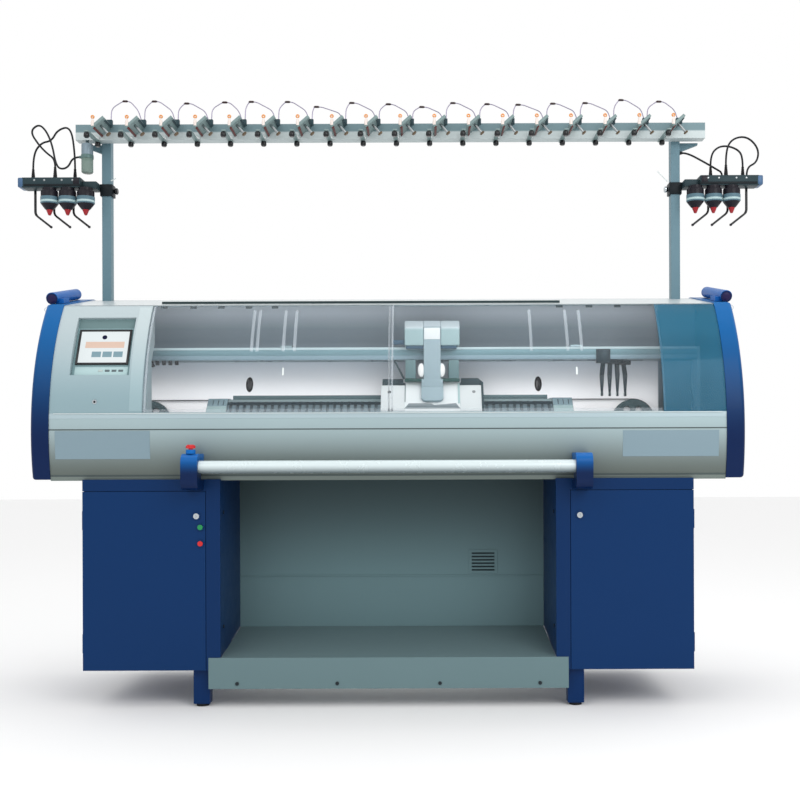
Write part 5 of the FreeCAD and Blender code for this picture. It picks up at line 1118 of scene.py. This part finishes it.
# how far along its span each wire's bead sits, and how high the bent wire stands over its lug in mm
WIRES = ((0.46, 78), (0.32, 77), (0.28, 68), (0.43, 72), (0.20, 74), (0.29, 73), (0.14, 52), (0.20, 68),
         (0.30, 62), (0.30, 50), (0.22, 66), (0.24, 61), (0.16, 58), (0.20, 62), (0.16, 64), (0.24, 76),
         (0.38, 69))
TENSION_DISCS = [(0, -0.066), (0.0075, -0.066), (0.0110, -0.0635), (0.0085, -0.0615), (0.0110, -0.0595),
                 (0.0075, -0.058), (0, -0.058)]
EYELET = [(0.0030, 0.001), (0.0046, 0), (0.0072, 0.0006), (0.0084, 0.004), (0.0072, 0.0074), (0.0046, 0.008),
          (0.0030, 0.007), (0.0030, 0.001)]
EYELET_POST = [(0, 2.309), (0.0068, 2.309), (0.0075, 2.322), (0.0050, 2.334), (0.0030, 2.3405), (0, 2.3405)]
CLAMP_KNOB = [(0, 2.260), (0.008, 2.260), (0.0115, 2.264), (0.0119, 2.270), (0.0105, 2.279),
              (0.0060, 2.2819), (0, 2.2819)]


def tension_unit(units, at):
    """A slanting plate with its red strip, tension disc, eyelet on its post, wire lug and clamp bar."""
    slant = Matrix.Translation((at - 0.008, UNIT_FRONT, 2.309)) @ Matrix.Rotation(math.radians(-41), 4, "Y")
    units.add(block((0, 0, -0.012), (0.065, 0.123, 0), 0.0015), "unit_grey", slant)
    units.add(block((0.0006, 0.004, -0.0165), (0.0100, 0.118, -0.0115), 0.001), "strip_red_brown", slant)
    units.add(block((0.0540, 0.020, -0.0150), (0.0640, 0.112, -0.0115), 0.001), "unit_dark", slant)
    middle = (0.0325, 0.0308, 0)
    units.add(turned(drum(0.005, -0.065, -0.0115, 0.0005), middle, "z", 16), "screw_steel", slant)
    units.add(turned(TENSION_DISCS, middle, "z", 20), "disc_brown", slant)
    units.add(turned(EYELET, (at, UNIT_FRONT, BEAM_FLOOR + 0.059), "y", 20), "eyelet_orange")
    units.add(turned(EYELET_POST, (at, UNIT_FRONT + 0.004, 0), "z", 16), "post_peach")
    units.add(block((at + 0.030, WIRE_DEPTH - 0.008, 2.337), (at + 0.056, WIRE_DEPTH + 0.008, LUG_TOP),
                    0.0015), "unit_dark")
    units.add(block((at - 0.030, deep(292), BEAM_FLOOR - 0.006), (at - 0.012, deep(473), BEAM_FLOOR), 0.001),
              "unit_grey")
    for shift, depth, lift in ((-0.023, 304.5, 0), (-0.019, 441, 0.002)):
        units.add(turned(CLAMP_KNOB, (at + shift, deep(depth), lift), "z", 20), "black_gloss")
    units.add(turned(drum(0.0095, 2.2881, 2.297, 0.002), (at - 0.015, deep(421), 0), "z", 20),
              "ceramic_pale")


def at_wires(points):
    """(X, height) points in the plane of the guide wires."""
    return [(x, WIRE_DEPTH, height) for x, height in points]


def tension_wires():
    """The bent guide wires between the units, each with its dark bead near the top."""
    wires = Piece()
    for index, (share, rise) in enumerate(WIRES):
        start = UNIT_FIRST + index * UNIT_PITCH + 0.050
        end = start + UNIT_PITCH - 0.014
        top = WIRE_FOOT + rise / 1000
        crest = start + (end - start) * share
        tall = top - WIRE_FOOT
        bends = [(start, WIRE_FOOT), (start + 0.002, WIRE_FOOT + tall * 0.62), (crest - 0.008, top),
                 (crest + 0.022, top - 0.001), (end - 0.012, WIRE_FOOT + tall * 0.50), (end, WIRE_FOOT)]
        wires.add(tube(eased(at_wires(bends), 0.030, 7), 0.0021, 8), "wire_mauve")
        bead = [(crest - 0.011, top - 0.002), (crest - 0.006, top - 0.0001), (crest + 0.008, top - 0.0004),
                (crest + 0.013, top - 0.001)]
        wires.add(tube(at_wires(bead), [0.0022, 0.0046, 0.0046, 0.0022], 12), "bead_dark")
    return wires.done("guide_wires", "machine", "steel", "tension_wires")


def stack(piece, spot, sections):
    """Adds turned sections about one upright axis, each with its sides, its finish and its profile."""
    for sides, finish, profile in sections:
        piece.add(turned(profile, spot, "z", sides), finish)


LAMP_SECTIONS = (
    (20, "unit_dark", [(0, 2.2741), (0.0060, 2.2741), (0.0060, 2.288), (0, 2.288)]),
    (40, "lamp_shell", [(0, 2.226), (0.0240, 2.226), (0.0240, 2.268), (0.0222, 2.2725), (0.0180, 2.274),
                        (0, 2.274)]),
    (40, "lamp_band", [(0.0200, 2.210), (0.0255, 2.210), (0.0260, 2.212), (0.0260, 2.224), (0.0255, 2.226),
                       (0.0200, 2.226), (0.0200, 2.210)]),
    (40, "lamp_milk", [(0, 2.149), (0.0170, 2.149), (0.0215, 2.151), (0.0240, 2.155), (0.0240, 2.210),
                       (0, 2.210)]))


def signal_lamp():
    """A hanging lamp: metal upper shell, a band with its side plug, and a milky green lower shell."""
    spot = (-1.277, deep(437), 0)
    lamp = Piece()
    stack(lamp, spot, LAMP_SECTIONS)
    lamp.add(turned(drum(0.006, -1.310, -1.290, 0.001), (0, spot[1], 2.218), "x", 16), "lamp_band")
    return lamp.done("hanging_lamp", "machine", "lamp_plastic", "signal_lamp")


all_units = Piece()
for index in range(UNIT_COUNT):
    tension_unit(all_units, UNIT_FIRST + index * UNIT_PITCH)
all_units.done("tension_units", "machine", "stand_paint", "yarn_tension_units")
tension_wires()
signal_lamp()

# ---------------- side feeders
PLATE_FLOOR, PLATE_TOP, SLEEVE_TOP = 2.084, 2.126, 2.172
FEEDER_FIRST, FEEDER_PITCH = 1.280, 0.076
# dark neck and cap, blue-grey drum with its pale band, dark shoulder and red tip
FEEDER_SECTIONS = (
    (36, "feeder_black", [(0, 2.071), (0.026, 2.071), (0.028, 2.073), (0.028, 2.084), (0, 2.084)]),
    (40, "feeder_black", [(0, 2.046), (0.0355, 2.046), (0.0355, 2.066), (0.0335, 2.0715), (0, 2.072)]),
    (40, "feeder_blue_grey", [(0, 2.017), (0.0345, 2.017), (0.0370, 2.020), (0.0370, 2.046), (0, 2.046)]),
    (40, "feeder_pale", [(0.030, 2.0225), (0.0371, 2.0225), (0.0371, 2.031), (0.030, 2.031),
                         (0.030, 2.0225)]),
    (40, "feeder_black", [(0, 1.993), (0.0155, 1.993), (0.0190, 1.996), (0.0330, 2.0145), (0.0345, 2.0170),
                          (0, 2.017)]),
    (28, "tip_red", [(0, 1.970), (0.0040, 1.970), (0.0060, 1.972), (0.0135, 1.9905), (0.0135, 1.993),
                     (0, 1.993)]))
GUIDE_RODS = ((1.3461, 0.0048), (1.4282, 0.0048), (1.508, 0.0055))      # place across, thickness
ROD_TIP = [(0, -0.0045), (0.004, -0.0045), (0.0058, -0.001), (0.0052, 0.0042), (0, 0.0045)]


def guide_rod(feeders, side, at, thick):
    """A bent rod under the plate, thinner below its bend, that ends in a small dark bead."""
    back, bend = deep(469), PLATE_FLOOR - 0.101
    path = eased([(side * at, back, PLATE_FLOOR), (side * at, back, bend),
                  (side * (at - 0.070), back, bend - 0.055)], 0.014, 5)
    radii = [thick if point[2] > bend - 0.004 else 0.0045 for point in path]
    feeders.add(tube(path, radii, 14), "black_gloss")
    end = path[-1]
    feeders.add(turned(ROD_TIP, (end[0] + side * 0.004, back, end[2] + 0.003), "z", 14), "feeder_black")


all_feeders = Piece()
for side in (-1, 1):
    for index in range(3):
        stack(all_feeders, (side * (FEEDER_FIRST + index * FEEDER_PITCH), deep(424), 0), FEEDER_SECTIONS)
    for at, thick in GUIDE_RODS:
        guide_rod(all_feeders, side, at, thick)
all_feeders.done("feeders", "machine", "dark_steel", "feeder_units")

# ---------------- the feeders' brackets
SLEEVES = {-1: ((1.512, 456), (1.408, 424), (1.335, 456)), 1: ((1.353, 456), (1.409, 424), (1.489, 456))}
PLATE_INNER, PLATE_OUTER = 1.297, 1.560
PLATE_NEAR, PLATE_FAR = deep(405), deep(475)
PLATE_SCREWS = (1.330, 1.375, 1.448, 1.490)
POST_AT, POST_MIDDLE, POST_HALF = 1.210, deep(500), 0.019
CLAMP_HALF = 0.026
CLAMP_PROFILE = [(0, 0), (0.0100, 0), (0.0138, 0.003), (0.0140, 0.008), (0.0105, 0.0125), (0.0080, 0.018),
                 (0, 0.018)]
CABLE_GLAND = [(0, 1.229), (0.0080, 1.229), (0.0080, 1.235), (0.0065, 1.238), (0.0055, 1.243), (0, 1.243)]


def sleeve(brackets, at, depth):
    """A ribbed rubber boot where a cable leaves the plate."""
    profile = [(0, PLATE_TOP), (0.0090, PLATE_TOP)]
    for rib in range(5):
        foot = PLATE_TOP + 0.004 + rib * 0.0078
        profile += [(0.0088 - rib * 0.0007, foot), (0.0078 - rib * 0.0007, foot + 0.0032)]
    profile += [(0.0056, SLEEVE_TOP - 0.001), (0.0050, SLEEVE_TOP), (0, SLEEVE_TOP)]
    brackets.add(turned(profile, (at, deep(depth), 0), "z", 20), "rubber_black")


def feeder_bracket(brackets, side):
    """The plate with its folded rims, end block, sleeves and screws, and its clamp round the post."""
    def slab(x, y, z, finish, round_by=0.001):
        """A block on this side of the machine, given by how far out it lies."""
        left, right = sorted((side * x[0], side * x[1]))
        brackets.add(block((left, y[0], z[0]), (right, y[1], z[1]), round_by), finish)

    slab((PLATE_INNER, PLATE_OUTER - 0.016), (PLATE_NEAR + 0.001, PLATE_FAR), (PLATE_FLOOR, PLATE_TOP),
         "plate_teal", 0.003)
    slab((PLATE_OUTER - 0.024, PLATE_OUTER), (PLATE_NEAR, PLATE_FAR - 0.002),
         (PLATE_FLOOR + 0.001, PLATE_TOP - 0.0005), "end_blue", 0.005)
    slab((PLATE_INNER, PLATE_OUTER - 0.026), (PLATE_NEAR, PLATE_NEAR + 0.004),
         (PLATE_FLOOR + 0.004, PLATE_FLOOR + 0.014), "plate_dark")
    slab((PLATE_INNER + 0.004, PLATE_INNER + 0.032), (PLATE_NEAR, PLATE_NEAR + 0.010),
         (PLATE_FLOOR + 0.012, PLATE_TOP - 0.002), "feeder_black", 0.003)
    for at in PLATE_SCREWS:
        brackets.add(turned(drum(0.0045, PLATE_NEAR, PLATE_NEAR + 0.006, 0.001),
                            (side * at, 0, PLATE_FLOOR + 0.030), "y", 14), "screw_steel")
    for at, depth in SLEEVES[side]:
        sleeve(brackets, side * at, depth)
    clamp_inner, clamp_outer = POST_AT - CLAMP_HALF, POST_AT + CLAMP_HALF
    near, far = POST_MIDDLE - CLAMP_HALF, POST_MIDDLE + CLAMP_HALF
    tall = (PLATE_FLOOR - 0.020, PLATE_FLOOR + 0.030)
    for y in ((near, near + CLAMP_HALF - POST_HALF), (far - CLAMP_HALF + POST_HALF, far)):
        slab((clamp_inner, clamp_outer), y, tall, "plate_dark", 0.002)
    for x in ((clamp_inner, POST_AT - POST_HALF), (POST_AT + POST_HALF, clamp_outer)):
        slab(x, (near + 0.003, far - 0.003), tall, "plate_dark")
    slab((clamp_outer, PLATE_INNER), (PLATE_FAR - 0.049, POST_MIDDLE), (PLATE_FLOOR, tall[1]), "plate_teal",
         0.003)
    mirror = None if side > 0 else Matrix.Scale(-1, 4, (1, 0, 0))
    brackets.add(turned(CLAMP_PROFILE, (clamp_inner - 0.018, POST_MIDDLE, PLATE_FLOOR + 0.005), "x", 24),
                 "black_gloss" if side < 0 else "bezel_bright", mirror)


all_brackets = Piece()
for side in (-1, 1):
    feeder_bracket(all_brackets, side)
all_brackets.add(turned(CABLE_GLAND, (0, deep(495), 2.243), "x", 20), "rubber_black")
for lever_foot, lever_head in (((-1.190, deep(478), 2.128), (-1.168, deep(474), 2.138)),
                               ((1.176, deep(478), 2.118), (1.132, deep(474), 2.160))):
    all_brackets.add(tube([lever_foot, lever_head], 0.0025, 8), "ceramic_pale")
all_brackets.done("feeder_brackets_dressed", "machine", "black_plastic", "feeder_brackets")

# ---------------- cables between the feeders
CABLE_RADIUS = 0.004


def cable(node, route):
    """A cable whose smooth line takes the route's points, in metres, as its control points."""
    curve = bpy.data.curves.new(node + "_line", "CURVE")
    curve.dimensions = "3D"
    curve.bevel_depth = CABLE_RADIUS
    curve.bevel_resolution = 6
    curve.resolution_u = 12
    curve.use_fill_caps = True
    line = curve.splines.new("NURBS")
    line.points.add(len(route) - 1)
    for point, (across, back, up) in zip(line.points, route):
        point.co = (across, FRONT + back, up, 1)
    line.order_u = 3
    line.use_endpoint_u = True
    curve.materials.append(FINISH["cable_black"])
    item = bpy.data.objects.new(node + "_cord", curve)
    bpy.context.scene.collection.objects.link(item)
    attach(item, "machine")
    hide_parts(node)
    across, back, up = route[0]
    return item


cable("left_arch_cable", (
    (-1.512, 0.456, SLEEVE_TOP), (-1.512, 0.456, 2.236), (-1.478, 0.456, 2.285), (-1.434, 0.456, 2.292),
    (-1.408, 0.456, 2.340), (-1.352, 0.456, 2.354), (-1.335, 0.456, 2.235), (-1.335, 0.456, SLEEVE_TOP)))
cable("left_lamp_cable", (
    (-1.408, 0.424, SLEEVE_TOP), (-1.408, 0.424, 2.206), (-1.444, 0.424, 2.232), (-1.478, 0.424, 2.268),
    (-1.512, 0.421, 2.322), (-1.474, 0.416, 2.352), (-1.440, 0.411, 2.322), (-1.414, 0.408, 2.260),
    (-1.402, 0.408, 2.190), (-1.386, 0.410, 2.160), (-1.352, 0.418, 2.168), (-1.338, 0.437, 2.218),
    (-1.310, 0.437, 2.218)))
cable("right_post_cable", (
    (1.243, 0.495, 2.243), (1.265, 0.495, 2.243), (1.330, 0.488, 2.205), (1.385, 0.470, 2.165),
    (1.404, 0.462, 2.150), (1.404, 0.462, PLATE_TOP)))
cable("right_arch_cable", (
    (1.353, 0.456, SLEEVE_TOP), (1.353, 0.456, 2.222), (1.384, 0.456, 2.258), (1.430, 0.456, 2.262),
    (1.478, 0.456, 2.240), (1.489, 0.456, 2.204), (1.489, 0.456, SLEEVE_TOP)))
cable("right_loop_cable", (
    (1.409, 0.424, SLEEVE_TOP), (1.409, 0.424, 2.240), (1.440, 0.424, 2.285), (1.500, 0.424, 2.292),
    (1.548, 0.424, 2.240), (1.540, 0.424, 2.182), (1.496, 0.424, 2.162), (1.496, 0.424, PLATE_TOP)))

# ---------------- camera, light and floor
scene = bpy.context.scene


def link(name, data, spot, turn=(0, 0, 0)):
    """A new object in the scene, turned by degrees."""
    item = bpy.data.objects.new(name, data)
    item.location = spot
    item.rotation_euler = [math.radians(angle) for angle in turn]
    scene.collection.objects.link(item)
    return item


lens = bpy.data.cameras.new("camera")
lens.lens = 47.4
lens.sensor_width = 36.0
lens.shift_x = -0.03125
lens.shift_y = 0.07125
scene.camera = link("camera", lens, (0.141, FRONT - 4.0, 0.950), (90, 0.2, 0))

# each soft light's place, turn in degrees, size and power in watts
LIGHTS = {
    "key_light": ((-2.4, -4.2, 4.2), (50, 0, -26), (3.4, 2.4), 25),
    "fill_light": ((2.6, -4.2, 3.4), (56, 0, 30), (3.0, 2.6), 75),
    "top_light": ((0.0, 0.4, 4.6), (0, 0, 0), (4.4, 2.2), 35),
    "inner_light": ((0.0, deep(335), 1.205), (98, 0, 0), (2.3, 0.10), 1.1),
}
for name, (spot, turn, size, power) in LIGHTS.items():
    lamp = bpy.data.lights.new(name, "AREA")
    lamp.shape = "RECTANGLE"
    lamp.size, lamp.size_y = size
    lamp.energy = power
    link(name, lamp, spot, turn)

air = bpy.data.worlds.new("studio_air")
air.use_nodes = True
air.node_tree.nodes["Background"].inputs["Color"].default_value = (1.0, 1.0, 1.0, 1)
air.node_tree.nodes["Background"].inputs["Strength"].default_value = 1.0
scene.world = air
scene.view_settings.view_transform = "Standard"

floor_mesh = bpy.data.meshes.new("floor")
floor_mesh.from_pydata([(-16, -12, 0), (16, -12, 0), (16, 20, 0), (-16, 20, 0)], [], [(0, 1, 2, 3)])
floor = link("floor", floor_mesh, (0, 0, packed_low[2]))
floor_mesh.materials.append(painted("pale_floor", (244, 244, 244), 0.85, 0.0, 0.0, 0.0, dust=0.0, edge=0.0))
